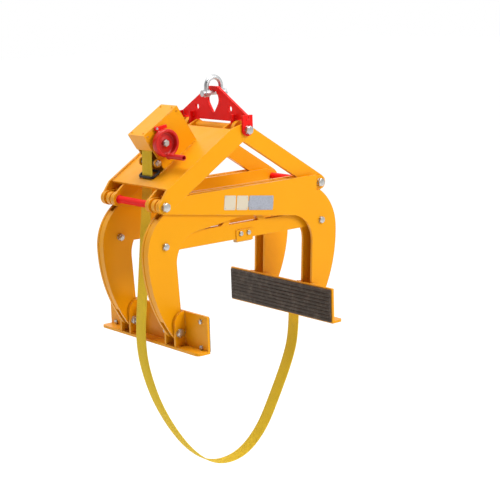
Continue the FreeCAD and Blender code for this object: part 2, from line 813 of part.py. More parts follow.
def lever(name, hand, layer, centre_hole):
    outer, inner = side_offset + layer + plate_thickness, side_offset - layer - plate_thickness
    for label, low in (("outer", outer_low), ("inner", inner_low)):
        shapes = both(lambda side: lever_plate(hand, low(layer, side), centre_hole))
        add(name + "_lever_" + label + "_plates", *shapes)
    add(name + "_arm_webs", *both(lambda side: arm_web(hand, layer, side)))
    place = (hand * arm_bolt_reach, arm_bolt_z)
    tip = inner - arm_nut_height - bolt_tail
    add(name + "_arm_bolts", *both(lambda side: bolt(
        place, arm_bolt_radius, arm_bolt_flats, arm_bolt_head, outer, tip, side)), *both(lambda side: nut(
            place, arm_bolt_radius, arm_bolt_flats, inner, arm_nut_height, side)))
    bore = arm_bolt_radius + running_clearance
    add(name + "_arm_spacers", *both(lambda side: tube(
        place, arm_spacer_radius, bore, *span(side, side_offset - layer, side_offset + layer))))


def levers():
    pin_hole = centre_pin_radius + running_clearance
    lever("right", 1, right_lever_layer, pin_hole)
    lever("left", -1, left_lever_layer, centre_pin_radius + open_pivot_clearance)
    reach = right_lever_layer + plate_thickness
    add("centre_pins", *both(lambda side: rod(
        centre, centre_pin_radius, *span(side, side_offset - reach, side_offset + reach))))


def data_plates():
    """Three blank plates on the front beam, set along the slope of its lower edge."""
    face = -(side_offset + right_lever_layer + plate_thickness)
    slope = math.radians(data_plate_slope)
    run, drop = (math.cos(slope), math.sin(slope)), (math.sin(slope), -math.cos(slope))
    start = (-data_plate_start, top_z - data_plate_drop)
    small, large, height = data_plate_small, data_plate_large, data_plate_small
    shapes, offset = [], 0.0
    for width in (small, small, large):
        corners = [
            (start[0] + run[0] * a + drop[0] * b, start[1] + run[1] * a + drop[1] * b)
            for a, b in ((offset, 0), (offset + width, 0), (offset + width, height), (offset, height))
        ]
        shapes.append(polygon_plate(corners, face - data_plate_thickness, data_plate_thickness))
        offset += width + data_plate_gap
    add("blank_data_plates", *shapes)


# Jaws

def box_between(x_ends, y_ends, z_ends):
    (x0, x1), (y0, y1), (z0, z1) = sorted(x_ends), sorted(y_ends), sorted(z_ends)
    return Part.makeBox(x1 - x0, y1 - y0, z1 - z0, Vector(x0, y0, z0))


def jaw_shoe(hand):
    """The backing plate of a jaw with its bottom shelf, in one piece."""
    half = jaw_length / 2
    low, high = jaw_base_z, jaw_base_z + jaw_height
    front, outboard = pad_face + jaw_pad_thickness, jaw_back + shelf_depth
    upright = box_between((hand * front, hand * jaw_back), (-half, half), (low, high))
    shelf = box_between((hand * front, hand * outboard), (-half, half), (low, low + jaw_plate_thickness))
    corners = [
        e for e in shelf.Edges
        if e.BoundBox.ZLength > face_clearance and abs(abs(e.BoundBox.XMin) - outboard) < face_clearance
    ]
    return upright.fuse(shelf.makeFillet(shelf_corner, corners)).removeSplitter()


def staple_place():
    return jaw_back + shelf_depth + staple_reach, jaw_base_z + jaw_plate_thickness + staple_rise


def strap_staple():
    """A rod between two lugs on the right jaw's shelf, which the strap's eye goes round."""
    place, base = staple_place(), jaw_base_z + jaw_plate_thickness
    crest = place[1] + staple_lug_radius
    outline = [
        (jaw_back, base), (jaw_back + shelf_depth, base), (place[0], place[1] - staple_lug_radius),
        (place[0], crest), (jaw_back, crest),
    ]
    low = strap_width / 2 + staple_side_gap
    body = rod(place, staple_rod_radius, -low, low)
    for side in (-1, 1):
        ends = span(side, low, low + jaw_plate_thickness)
        lug = polygon_plate(outline, ends[0], jaw_plate_thickness)
        body = body.fuse(lug).fuse(rod(place, staple_lug_radius, *ends))
    return body


def screw_places():
    half = jaw_length / 2 - pad_screw_end_inset
    levels = (jaw_base_z + pad_screw_inset, jaw_base_z + jaw_height - pad_screw_top_inset)
    return [(y, z) for y in (-half, half) for z in levels]


def across(hand, near, far, y, z, radius):
    """A cylinder along X between two distances from the middle, on one hand."""
    low, high = sorted((hand * near, hand * far))
    return Part.makeCylinder(radius, high - low, Vector(low, y, z), Vector(1, 0, 0))


def pad_screw(hand, y, z):
    depth = jaw_back - jaw_plate_thickness - jaw_pad_thickness / 2
    shank = across(hand, depth, jaw_back, y, z, pad_screw_radius)
    corner = pad_screw_flats / math.sqrt(3)
    points = [Vector(hand * jaw_back, *on_circle((y, z), corner, 60 * k)) for k in range(7)]
    return shank.fuse(Part.Face(Part.makePolygon(points)).extrude(Vector(hand * pad_screw_head, 0, 0)))


def jaw_cheek(hand, low):
    """One of the upright plates that carry the jaw on its pivot bolt."""
    base = jaw_base_z + jaw_plate_thickness
    edge_z, back_z = jaw_base_z + cheek_edge_height, jaw_base_z + jaw_height
    outboard = jaw_back + shelf_depth - face_clearance
    bend = (mix(outboard, jaw_back, 1 - cheek_round_shares[0]), mix(edge_z, back_z, cheek_round_shares[1]))
    places = [(jaw_back, base), (outboard, base), (outboard, edge_z), bend, (jaw_back, back_z)]
    places = [(hand * x, z) for x, z in places]
    edges = [
        line(places[0], places[1]), line(places[1], places[2]), arc(places[2], places[3], places[4]),
        line(places[4], places[0]),
    ]
    return drill(plate(edges, low, plate_thickness), (hand * jaw_pivot_reach, jaw_z), hole)


def jaw(name, hand, layer):
    shoe = jaw_shoe(hand)
    if hand > 0:
        shoe = shoe.fuse(strap_staple()).removeSplitter()
    margin = jaw_pad_margin
    half = jaw_length / 2 - margin
    pad = box_between(
        (hand * pad_face, hand * (pad_face + jaw_pad_thickness)), (-half, half),
        (jaw_base_z + margin, jaw_base_z + jaw_height - margin))
    for y, z in screw_places():
        bore = across(hand, pad_face + jaw_pad_thickness / 2, jaw_back + cut_overrun, y, z,
                      pad_screw_radius + running_clearance)
        shoe, pad = shoe.cut(bore), pad.cut(bore)
    add(name + "_jaw_shoe", shoe)
    add(name + "_jaw_pad", pad)
    add(name + "_jaw_pad_screws", *[pad_screw(hand, y, z) for y, z in screw_places()])
    cheek_layer = layer + plate_thickness + cheek_clearance
    lows = [low for side in (-1, 1) for low in (outer_low(cheek_layer, side), inner_low(cheek_layer, side))]
    add(name + "_jaw_cheeks", *[jaw_cheek(hand, low) for low in lows])
    outer, inner = side_offset + cheek_layer + plate_thickness, side_offset - cheek_layer - plate_thickness
    place = (hand * jaw_pivot_reach, jaw_z)
    add(name + "_jaw_pivot_bolts", *both(lambda side: bolt(
        place, pivot_bolt_radius, pivot_bolt_flats, pivot_bolt_head, outer,
        inner - pivot_nut_height - bolt_tail, side)), *both(lambda side: nut(
            place, pivot_bolt_radius, pivot_bolt_flats, inner, pivot_nut_height, side)))
    reach = layer - face_clearance
    add(name + "_jaw_spacers", *both(lambda side: tube(
        place, spacer_radius, hole, *span(side, side_offset - reach, side_offset + reach))))


# Depth stop: a level bar between the arms that meets the load's top

def depth_stop():
    half = stop_bar_thickness / 2
    bar_top = stop_bar_z + stop_bar_height
    ends = [span(side, side_offset - half, side_offset + half) for side in (-1, 1)]
    bars = [box_between((-stop_bar_half, stop_bar_half), y_ends, (stop_bar_z, bar_top)) for y_ends in ends]
    foot, leg, arch_z = yoke_foot_half, yoke_foot_half - yoke_leg_width, bar_top + yoke_arch_rise
    boss_z = centre_z
    yoke_outline = [
        (-foot, bar_top), (-leg, bar_top), (-yoke_arch_half, arch_z), (yoke_arch_half, arch_z),
        (leg, bar_top), (foot, bar_top), (yoke_boss_radius, boss_z), (-yoke_boss_radius, boss_z),
    ]
    pin_hole = centre_pin_radius + running_clearance
    yokes = []
    for low, high in ends:
        yoke = polygon_plate(yoke_outline, low, high - low).fuse(rod(centre, yoke_boss_radius, low, high))
        yokes.append(drill(yoke.removeSplitter(), centre, pin_hole))
    pads, brackets, bolts = [], [], []
    for side, (low, high) in zip((-1, 1), ends):
        pad_z = stop_bar_z - stop_pad_height
        length = (-stop_pad_length / 2, stop_pad_length / 2)
        pads.append(box_between(length, (low, high), (pad_z, stop_bar_z)))
        face = side_offset + half
        foot_z = stop_bar_z - stop_bracket_drop
        tab = box_between(length, span(side, face, face + stop_bracket_thickness),
                          (foot_z, foot_z + stop_bracket_height))
        for hand in (-1, 1):
            place = (hand * stop_bolt_spacing / 2, stop_bar_z + stop_bolt_rise)
            bore = pad_screw_radius + running_clearance
            tab = drill(tab, place, bore)
            bars = [drill(bar, place, bore) for bar in bars]
            bolts.append(bolt(place, pad_screw_radius, pad_screw_flats, pad_screw_head,
                              face + stop_bracket_thickness, side_offset - half, side))
        brackets.append(tab)
    add("stop_bars", *bars)
    add("stop_yokes", *yokes)
    add("stop_pads", *pads)
    add("stop_pad_brackets", *brackets)
    add("stop_pad_bolts", *bolts)


# Securing strap

def strap_runs(route):
    """Straight runs and tangent arcs along the route, as (kind, places, centre, radius, side)."""
    corners = []
    for before, place, after in zip(route, route[1:], route[2:]):
        a, b = [(p[0] - q[0], p[1] - q[1]) for p, q in ((before, place), (after, place))]
        la, lb = math.hypot(*a), math.hypot(*b)
        turn = math.pi - math.acos((a[0] * b[0] + a[1] * b[1]) / (la * lb))
        reach = strap_fillet_share * min(la, lb)
        start = (place[0] + a[0] / la * reach, place[1] + a[1] / la * reach)
        end = (place[0] + b[0] / lb * reach, place[1] + b[1] / lb * reach)
        side = 1 if a[0] * b[1] - a[1] * b[0] < 0 else -1
        radius = reach / math.tan(turn / 2)
        normal = (side * a[1] / la, -side * a[0] / la)
        centre_place = (start[0] + normal[0] * radius, start[1] + normal[1] * radius)
        corners.append((start, end, centre_place, radius, side))
    return corners


def offset_edges(route, corners, shift):
    """Edges of the route moved sideways by shift, for one face of the strap."""
    def moved(place, toward):
        dx, dz = toward[0] - place[0], toward[1] - place[1]
        length = math.hypot(dx, dz)
        return -dz / length * shift, dx / length * shift

    edges, here = [], route[0]
    for (start, end, middle, radius, side), target in zip(corners, route[1:]):
        nx, nz = moved(here, target)
        first, last = (here[0] + nx, here[1] + nz), (start[0] + nx, start[1] + nz)
        edges.append((first, last))
        r = radius - side * shift
        angles = [math.degrees(math.atan2(p[1] - middle[1], p[0] - middle[0])) for p in (start, end)]
        sweep = (angles[1] - angles[0] + 180) % 360 - 180
        edges.append(tuple(on_circle(middle, r, angles[0] + sweep * share) for share in (0, 0.5, 1)))
        here = end
    nx, nz = moved(here, route[-1])
    edges.append(((here[0] + nx, here[1] + nz), (route[-1][0] + nx, route[-1][1] + nz)))
    return edges


def securing_strap():
    route = [(x, z + top_z) for x, z in strap_route]
    corners = strap_runs(route)
    half = strap_thickness / 2
    left, right = offset_edges(route, corners, half), offset_edges(route, corners, -half)
    runs = left + [(left[-1][-1], right[-1][-1])] + right + [(left[0][0], right[0][0])]
    edges = [(arc if len(run) == 3 else line)(*run) for run in runs]
    face = Part.Face(Part.Wire(Part.__sortEdges__(edges)))
    band = face.extrude(Vector(0, strap_width, 0)).translated(Vector(0, -strap_width / 2, 0))
    add("securing_strap", band)
    centre_line = offset_edges(route, corners, 0.0)
    length = sum((arc if len(run) == 3 else line)(*run).Length for run in centre_line)
    print("strap bend radii", [round(corner[3]) for corner in corners])
    print("strap length", round(length), "volume", round(band.Volume),
          "section times length", round(length * strap_width * strap_thickness))
    place = staple_place()
    ring_in = staple_rod_radius + face_clearance
    ring_out = ring_in + strap_thickness
    ring = tube(place, ring_out, ring_in, -strap_width / 2, strap_width / 2)
    stem_top = place[1] - ring_in - half
    stem = box_between(
        (place[0] - strap_thickness, place[0] + strap_thickness),
        (-strap_width / 2, strap_width / 2), (place[1] - strap_eye_length, stem_top))
    add("strap_eye", ring.fuse(stem).removeSplitter())


shackle()
suspension()
winch_link()
winch_housing()
guide_ring()
winch_rotor()
pawl()
right_link()
levers()
data_plates()
jaw("right", 1, right_lever_layer)
jaw("left", -1, left_lever_layer)
depth_stop()
securing_strap()

os.makedirs("parts", exist_ok=True)
for name, shape in parts.items():
    if not shape.isValid():
        print("not valid:", name)
    shape.exportStep(os.path.join("parts", name + ".step"))
print(len(parts), "nodes,", sum(len(shape.Solids) for shape in parts.values()), "solids")
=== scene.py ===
import json
import math

import bmesh
import bpy
from mathutils import Matrix, Vector


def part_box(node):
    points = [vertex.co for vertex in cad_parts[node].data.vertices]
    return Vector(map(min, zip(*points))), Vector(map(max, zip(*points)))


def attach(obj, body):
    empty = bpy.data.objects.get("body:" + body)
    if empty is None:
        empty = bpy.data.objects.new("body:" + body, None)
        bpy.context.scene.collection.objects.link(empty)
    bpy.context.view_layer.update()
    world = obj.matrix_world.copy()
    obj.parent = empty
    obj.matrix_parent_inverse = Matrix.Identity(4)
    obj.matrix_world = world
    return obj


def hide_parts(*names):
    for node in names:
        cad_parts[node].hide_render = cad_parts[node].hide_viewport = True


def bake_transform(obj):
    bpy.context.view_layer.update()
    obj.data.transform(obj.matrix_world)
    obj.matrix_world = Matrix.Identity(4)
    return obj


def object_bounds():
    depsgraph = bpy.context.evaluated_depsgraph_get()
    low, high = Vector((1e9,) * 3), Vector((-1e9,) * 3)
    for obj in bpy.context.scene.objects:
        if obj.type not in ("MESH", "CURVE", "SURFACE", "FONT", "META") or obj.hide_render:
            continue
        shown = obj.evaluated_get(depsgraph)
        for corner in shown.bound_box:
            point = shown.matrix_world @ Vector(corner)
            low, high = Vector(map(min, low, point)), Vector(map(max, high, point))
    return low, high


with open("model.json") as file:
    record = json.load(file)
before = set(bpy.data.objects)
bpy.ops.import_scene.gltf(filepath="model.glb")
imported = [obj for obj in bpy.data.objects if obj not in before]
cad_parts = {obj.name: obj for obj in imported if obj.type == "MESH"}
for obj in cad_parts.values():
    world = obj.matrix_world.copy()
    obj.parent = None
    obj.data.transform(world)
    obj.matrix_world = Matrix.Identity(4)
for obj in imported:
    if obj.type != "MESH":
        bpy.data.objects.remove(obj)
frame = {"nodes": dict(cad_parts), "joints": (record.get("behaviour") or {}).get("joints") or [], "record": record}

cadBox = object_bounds()
scene = bpy.context.scene
pivots = {joint["name"]: Vector(joint["pos_m"]) for joint in frame["joints"]}
topPivot = pivots["winch_link_swing"]
leftKnuckle = pivots["right_lever_fold"]
winchAxis = pivots["winch_crank"]
acrossTongs = Vector((0, 1, 0))  # along the pivot bolts
linkRun = (leftKnuckle - topPivot).normalized()  # down the winch link
linkRise = Vector((linkRun.z, 0, -linkRun.x))  # square to the winch link, upwards
mergeGap = 1e-6  # lengths are in metres
levelGap = 1e-5
creaseAngle = 35  # in degrees
rimSteps = 4  # of a rounded rim


def linked(name, data):
    made = bpy.data.objects.new(name, data)
    scene.collection.objects.link(made)
    return made


# Camera, at the photograph's angle

shot = {
    "place": (-2.5233, -3.2478, 0.2767),
    "azimuth": -39.177,
    "elevation": 11.175,
    "roll": -1.817,
    "focalPixels": 1335.7,
    "framePixels": 500,
    "sensor": 36.0,
}


def setCamera():
    lensData = bpy.data.cameras.new("photoCamera")
    lensData.sensor_width = shot["sensor"]
    lensData.lens = shot["sensor"] * shot["focalPixels"] / shot["framePixels"]
    camera = linked("photoCamera", lensData)
    turns = ((shot["azimuth"], "Z"), (90 - shot["elevation"], "X"), (shot["roll"], "Z"))
    pose = Matrix.Translation(shot["place"])
    for angle, axis in turns:
        pose = pose @ Matrix.Rotation(math.radians(angle), 4, axis)
    camera.matrix_world = pose
    scene.camera = camera


# Floor and studio light. A patch is a noise, as scale, detail and roughness, with the range for its spread.

studio = {
    "floorDrop": 0.30,  # below the lowest point of the strap, which hangs lower with the jaws closed
    "floorSize": 60.0,
    "floorShade": (0.32, 0.32, 0.32, 1),
    "floorDark": (0.2, 0.2, 0.2, 1),
    "floorPatch": ((1.2, 3.0), (0.3, 0.7, 0.97, 1.0)),
    "floorRoughness": 0.85,
    "floorGlow": 0.80,
    "skyShade": (1, 1, 1, 1),
    "skyAhead": (0.63, 0.78, 0.0),  # from the photograph's side to the far side
    "skyRange": (-0.5, 0.4, 0.08, 1.0),  # where the sky brightens, and its strength in front and behind
    "lamps": [  # name, place, size, power, warmth
        ("keyLamp", (1.6, -4.2, 2.4), 2.4, 200, (1.0, 0.98, 0.95)),
        ("topLamp", (-0.6, 0.2, 3.6), 2.6, 160, (1.0, 1.0, 1.0)),
    ],
    "aim": (0.0, 0.0, -0.5),
}


def setStudio():
    low = cadBox[0].z - studio["floorDrop"]
    half = studio["floorSize"] / 2
    sheet = bpy.data.meshes.new("studioFloor")
    places = [(x, y, low) for x, y in ((-half, -half), (half, -half), (half, half), (-half, half))]
    sheet.from_pydata(places, [], [(0, 1, 2, 3)])
    sheet.materials.append(floorFinish())
    linked("studioFloor", sheet)
    world = bpy.data.worlds.new("studioSky")
    world.use_nodes = True
    tree = world.node_tree
    look = addNode(tree, "ShaderNodeTexCoord").outputs["Generated"]
    ahead = dotNode(tree, look, studio["skyAhead"])
    seen = addNode(tree, "ShaderNodeLightPath").outputs["Is Camera Ray"]
    strength = mathNode(tree, "MAXIMUM", rangeNode(tree, ahead, *studio["skyRange"]), seen)
    feed(tree, tree.nodes["Background"].inputs, {"Color": studio["skyShade"], "Strength": strength})
    scene.world = world
    scene.view_settings.view_transform = "Standard"
    for name, place, size, power, warmth in studio["lamps"]:
        lampData = bpy.data.lights.new(name, "AREA")
        lampData.size = size
        lampData.energy = power
        lampData.color = warmth
        lamp = linked(name, lampData)
        lamp.location = place
        lamp.rotation_mode = "QUATERNION"
        lamp.rotation_quaternion = (Vector(studio["aim"]) - Vector(place)).to_track_quat("-Z", "Y")


# Node tools

socketKinds = {
    "value": "NodeSocketFloat", "colour": "NodeSocketColor", "vector": "NodeSocketVector",
    "geometry": "NodeSocketGeometry", "object": "NodeSocketObject", "seed": "NodeSocketInt",
    "finish": "NodeSocketMaterial",
}
bevelSamples = 4


def feed(tree, sockets, values):
    # links what comes from a node and sets the rest
    for key, value in values.items():
        if isinstance(value, bpy.types.NodeSocket):
            tree.links.new(value, sockets[key])
        else:
            sockets[key].default_value = value


def addNode(tree, kind, values=None, **settings):
    made = tree.nodes.new(kind)
    for key, value in settings.items():
        setattr(made, key, value)
    feed(tree, made.inputs, values or {})
    return made


def newGroup(name, inputs, outputs, kind="ShaderNodeTree"):
    tree = bpy.data.node_groups.new(name, kind)
    for way, sockets in (("INPUT", inputs), ("OUTPUT", outputs)):
        for label, sort in sockets.items():
            tree.interface.new_socket(label, in_out=way, socket_type=socketKinds[sort])
    return tree, tree.nodes.new("NodeGroupInput").outputs, tree.nodes.new("NodeGroupOutput").inputs


def mathNode(tree, operation, first, second=0.0, third=0.0):
    values = {0: first, 1: second, 2: third}
    return addNode(tree, "ShaderNodeMath", values, operation=operation).outputs[0]


def dotNode(tree, first, second):
    values = {0: first, 1: second}
    return addNode(tree, "ShaderNodeVectorMath", values, operation="DOT_PRODUCT").outputs["Value"]


def rangeNode(tree, value, low, high, start=0.0, end=1.0):
    values = {"Value": value, "From Min": low, "From Max": high, "To Min": start, "To Max": end}
    return addNode(tree, "ShaderNodeMapRange", values).outputs["Result"]


def mixColour(tree, share, first, second, blend="MIX"):
    values = {0: share, 6: first, 7: second}
    return addNode(tree, "ShaderNodeMix", values, data_type="RGBA", blend_type=blend).outputs[2]


def noiseNode(tree, vector, scale, detail=3.0, roughness=0.55):
    values = {"Vector": vector, "Scale": scale, "Detail": detail, "Roughness": roughness}
    return addNode(tree, "ShaderNodeTexNoise", values).outputs["Fac"]


def patchNode(tree, vector, patch):
    noise, spread = patch
    return rangeNode(tree, noiseNode(tree, vector, *noise), *spread)


def bevelNode(tree, radius):
    return addNode(tree, "ShaderNodeBevel", {"Radius": radius}, samples=bevelSamples).outputs["Normal"]


# Shader node groups that the finishes share

chipping = {"radius": 0.003, "rim": (0.985, 0.86), "patch": ((60.0, 5.0, 0.7), (0.46, 0.66))}


def edgeWearGroup():
    tree, given, put = newGroup("edgeWear", {"Vector": "vector", "Amount": "value"}, {"Edge": "value"})
    flat = addNode(tree, "ShaderNodeNewGeometry").outputs["Normal"]
    rim = rangeNode(tree, dotNode(tree, bevelNode(tree, chipping["radius"]), flat), *chipping["rim"])
    worn = mathNode(tree, "MULTIPLY", rim, patchNode(tree, given["Vector"], chipping["patch"]))
    feed(tree, put, {"Edge": mathNode(tree, "MULTIPLY", worn, given["Amount"])})
    return tree


skin = {
    "broad": ((5.0, 3.0), (0.35, 0.75)),
    "deeper": (0.80, 0.66, 0.55, 1),
    "specks": ((340.0, 2.0), (0.70, 0.78, 0.0, 0.18)),
    "speckShade": (0.42, 0.33, 0.22, 1),
    "mottle": ((26.0, 4.0), (0.3, 0.7, -0.06, 0.10)),
    "peel": (420.0, 1.0, 0.4),
}


def paintSkinGroup():
    tree, given, put = newGroup("paintSkin", {
        "Vector": "vector", "Paint": "colour", "Gloss": "value", "Drift": "value",
    }, {"Colour": "colour", "Roughness": "value", "Height": "value"})
    place = given["Vector"]
    broad, specks, mottle = (patchNode(tree, place, skin[key]) for key in ("broad", "specks", "mottle"))
    deeper = mixColour(tree, 1.0, given["Paint"], skin["deeper"], "MULTIPLY")
    toned = mixColour(tree, mathNode(tree, "MULTIPLY", broad, given["Drift"]), given["Paint"], deeper)
    feed(tree, put, {
        "Colour": mixColour(tree, specks, toned, skin["speckShade"]),
        "Roughness": mathNode(tree, "ADD", given["Gloss"], mottle),
        "Height": noiseNode(tree, place, *skin["peel"])})
    return tree


settled = {"patch": ((14.0, 6.0, 0.65), (0.35, 0.75)), "slope": (0.3, 0.95)}


def dustGroup():
    tree, given, put = newGroup("settledDust", {"Vector": "vector", "Amount": "value"}, {"Dust": "value"})
    facing = addNode(tree, "ShaderNodeNewGeometry").outputs["Normal"]
    upward = addNode(tree, "ShaderNodeSeparateXYZ", {0: facing}).outputs["Z"]
    patches = patchNode(tree, given["Vector"], settled["patch"])
    lying = mathNode(tree, "MULTIPLY", rangeNode(tree, upward, *settled["slope"]), patches)
    feed(tree, put, {"Dust": mathNode(tree, "MULTIPLY", lying, given["Amount"])})
    return tree


grain = {
    "darker": (0.62, 0.63, 0.66, 1),
    "spots": (0.0, 1.0, 0.0, 0.45),
    "grime": ((38.0, 6.0, 0.7), (0.55, 0.8, 0.0, 0.5)),
    "grimeShade": (0.20, 0.18, 0.16, 1),
    "grimeDullness": 0.3,
    "dullness": (0.0, 1.0, -0.05, 0.12),
    "pits": (700.0, 2.0),
}


def steelGrainGroup():
    tree, given, put = newGroup("steelGrain", {
        "Vector": "vector", "Steel": "colour", "Gloss": "value", "Spangle": "value",
    }, {"Colour": "colour", "Roughness": "value", "Height": "value"})
    cells = addNode(tree, "ShaderNodeTexVoronoi", {"Vector": given["Vector"], "Scale": given["Spangle"]})
    shade = addNode(tree, "ShaderNodeSeparateColor", {0: cells.outputs["Color"]}).outputs[0]
    darker = mixColour(tree, 1.0, given["Steel"], grain["darker"], "MULTIPLY")
    spotted = mixColour(tree, rangeNode(tree, shade, *grain["spots"]), given["Steel"], darker)
    grime = patchNode(tree, given["Vector"], grain["grime"])
    rough = mathNode(tree, "ADD", given["Gloss"], rangeNode(tree, shade, *grain["dullness"]))
    feed(tree, put, {
        "Colour": mixColour(tree, grime, spotted, grain["grimeShade"]),
        "Roughness": mathNode(tree, "MULTIPLY_ADD", grime, grain["grimeDullness"], rough),
        "Height": noiseNode(tree, given["Vector"], *grain["pits"])})
    return tree


weave = {
    "columns": 9.0, "picks": 30.0, "slant": 2.4, "gapDepth": 0.25, "ribDepth": 0.5, "shade": (-0.7, 0.7),
    "selvedge": (0.41, 0.44),
}


def weaveGroup():
    tree, given, put = newGroup("webbingWeave", {"Across": "value", "Along": "value"}, {
        "Height": "value", "Shade": "value", "Selvedge": "value"})
    column = mathNode(tree, "MULTIPLY", given["Across"], weave["columns"])
    folded = mathNode(tree, "MULTIPLY", mathNode(tree, "PINGPONG", column, 0.5), weave["slant"])
    slanted = mathNode(tree, "MULTIPLY_ADD", given["Along"], weave["picks"], folded)
    waves = [mathNode(tree, "MULTIPLY", turns, 2 * math.pi) for turns in (slanted, column)]
    ribs, gaps = (mathNode(tree, "SINE", wave) for wave in waves)
    height = mathNode(tree, "MULTIPLY_ADD", gaps, weave["gapDepth"],
                      mathNode(tree, "MULTIPLY", ribs, weave["ribDepth"]))
    fromMiddle = mathNode(tree, "ABSOLUTE", mathNode(tree, "SUBTRACT", given["Across"], 0.5))
    feed(tree, put, {"Height": height, "Shade": rangeNode(tree, height, *weave["shade"]),
                     "Selvedge": rangeNode(tree, fromMiddle, *weave["selvedge"])})
    return tree


groups = {
    "edgeWear": edgeWearGroup(), "paintSkin": paintSkinGroup(), "dust": dustGroup(),
    "grain": steelGrainGroup(), "weave": weaveGroup(),
}


# Finishes

finishes = {
    "orangePaint": {"paint": (0.80, 0.325, 0.002), "gloss": 0.34, "wear": 0.5, "shine": 0.5,
                    "sheen": (1.0, 0.72, 0.20)},
    "redPaint": {"paint": (0.80, 0.008, 0.007), "gloss": 0.40, "wear": 0.45, "shine": 0.12},
    "wheelRed": {"paint": (0.56, 0.012, 0.009), "gloss": 0.30, "wear": 0.45, "shine": 0.3},
    "blackPaint": {"paint": (0.012, 0.012, 0.013), "gloss": 0.38, "wear": 0.8},
    "zincSteel": {"steel": (0.56, 0.55, 0.53), "gloss": 0.30, "spangle": 160.0},
    "forgedZinc": {"steel": (0.60, 0.61, 0.62), "gloss": 0.36, "spangle": 95.0},
    "bronze": {"steel": (0.60, 0.38, 0.14), "gloss": 0.28, "spangle": 240.0},
    "plateSilver": {"steel": (0.44, 0.46, 0.52), "gloss": 0.42, "spangle": 420.0},
    "padAmber": {"paint": (0.68, 0.50, 0.27), "gloss": 0.45, "wear": 0.1},
    "plateWhite": {"paint": (0.62, 0.55, 0.42), "gloss": 0.30, "wear": 0.2},
}
bevelRadius = 0.0009
peelDepth = 0.00006
paintDrift = 0.16
plainShine = 0.2
dustAmount = 0.04
dustDullness = 0.5
bareSteel = (0.36, 0.34, 0.32, 1)
dustShade = (0.60, 0.55, 0.47, 1)


def newFinish(name):
    finish = bpy.data.materials.new(name)
    finish.use_nodes = True
    tree = finish.node_tree
    place = addNode(tree, "ShaderNodeTexCoord").outputs["Object"]
    return finish, tree, tree.nodes["Principled BSDF"].inputs, place


def placeGroup(tree, name, values):
    return addNode(tree, "ShaderNodeGroup", values, node_tree=groups[name]).outputs


def bumpFrom(tree, height, depth):
    values = {"Distance": depth, "Height": height, "Normal": bevelNode(tree, bevelRadius), "Strength": 1.0}
    return addNode(tree, "ShaderNodeBump", values).outputs["Normal"]


def paintFinish(name):
    look = finishes[name]
    finish, tree, put, place = newFinish(name)
    coat = placeGroup(tree, "paintSkin", {
        "Vector": place, "Paint": (*look["paint"], 1), "Gloss": look["gloss"], "Drift": paintDrift})
    edge = placeGroup(tree, "edgeWear", {"Vector": place, "Amount": look["wear"]})["Edge"]
    dust = placeGroup(tree, "dust", {"Vector": place, "Amount": dustAmount})["Dust"]
    chipped = mixColour(tree, edge, coat["Colour"], bareSteel)
    feed(tree, put, {
        "Base Color": mixColour(tree, dust, chipped, dustShade),
        "Roughness": mathNode(tree, "MULTIPLY_ADD", dust, dustDullness, coat["Roughness"]),
        "Normal": bumpFrom(tree, coat["Height"], peelDepth),
        "Specular IOR Level": look.get("shine", plainShine),
        "Specular Tint": (*look.get("sheen", (1, 1, 1)), 1)})
    return finish


def steelFinish(name):
    look = finishes[name]
    finish, tree, put, place = newFinish(name)
    coat = placeGroup(tree, "grain", {
        "Vector": place, "Steel": (*look["steel"], 1), "Gloss": look["gloss"], "Spangle": look["spangle"]})
    feed(tree, put, {"Base Color": coat["Colour"], "Roughness": coat["Roughness"], "Metallic": 1.0,
                     "Normal": bumpFrom(tree, coat["Height"], peelDepth)})
    return finish


rubber = {
    "shade": (0.055, 0.040, 0.030, 1), "scuff": (0.22, 0.18, 0.14, 1), "wear": 0.7,
    "scuffs": ((30.0, 7.0, 0.7), (0.5, 0.75, 0.0, 0.6)),
    "pebbles": (520.0, 3.0), "roughness": (0.3, 0.7, 0.62, 0.87), "pebbleDepth": 0.00025,
}


def rubberFinish():
    finish, tree, put, place = newFinish("padRubber")
    edge = placeGroup(tree, "edgeWear", {"Vector": place, "Amount": rubber["wear"]})["Edge"]
    share = mathNode(tree, "MAXIMUM", patchNode(tree, place, rubber["scuffs"]), edge)
    pebbles = noiseNode(tree, place, *rubber["pebbles"])
    feed(tree, put, {"Base Color": mixColour(tree, share, rubber["shade"], rubber["scuff"]),
                     "Roughness": rangeNode(tree, pebbles, *rubber["roughness"]),
                     "Normal": bumpFrom(tree, pebbles, rubber["pebbleDepth"])})
    return finish


webbing = {
    "yarn": (0.98, 0.68, 0.035, 1), "shadow": (0.78, 0.50, 0.018, 1), "selvedge": (0.88, 0.62, 0.04, 1),
    "soil": (0.36, 0.28, 0.08, 1), "soiling": ((9.0, 6.0, 0.65), (0.55, 0.85, 0.0, 0.35)),
    "roughness": (0.0, 1.0, 0.85, 0.62), "ribDepth": 0.0006, "fuzz": 0.04, "shine": 0.15,
}


def webbingFinish():
    finish, tree, put, place = newFinish("strapWebbing")
    strapUv = addNode(tree, "ShaderNodeUVMap", uv_map="strapUv").outputs[0]
    axes = addNode(tree, "ShaderNodeSeparateXYZ", {0: strapUv}).outputs
    woven = placeGroup(tree, "weave", {"Across": axes["X"], "Along": axes["Y"]})
    yarn = mixColour(tree, woven["Shade"], webbing["shadow"], webbing["yarn"])
    edged = mixColour(tree, woven["Selvedge"], yarn, webbing["selvedge"])
    soil = patchNode(tree, place, webbing["soiling"])
    bump = addNode(tree, "ShaderNodeBump", {"Distance": webbing["ribDepth"], "Height": woven["Height"]})
    feed(tree, put, {
        "Base Color": mixColour(tree, soil, edged, webbing["soil"]),
        "Roughness": rangeNode(tree, woven["Shade"], *webbing["roughness"]),
        "Normal": bump.outputs["Normal"],
        "Sheen Weight": webbing["fuzz"], "Specular IOR Level": webbing["shine"]})
    return finish


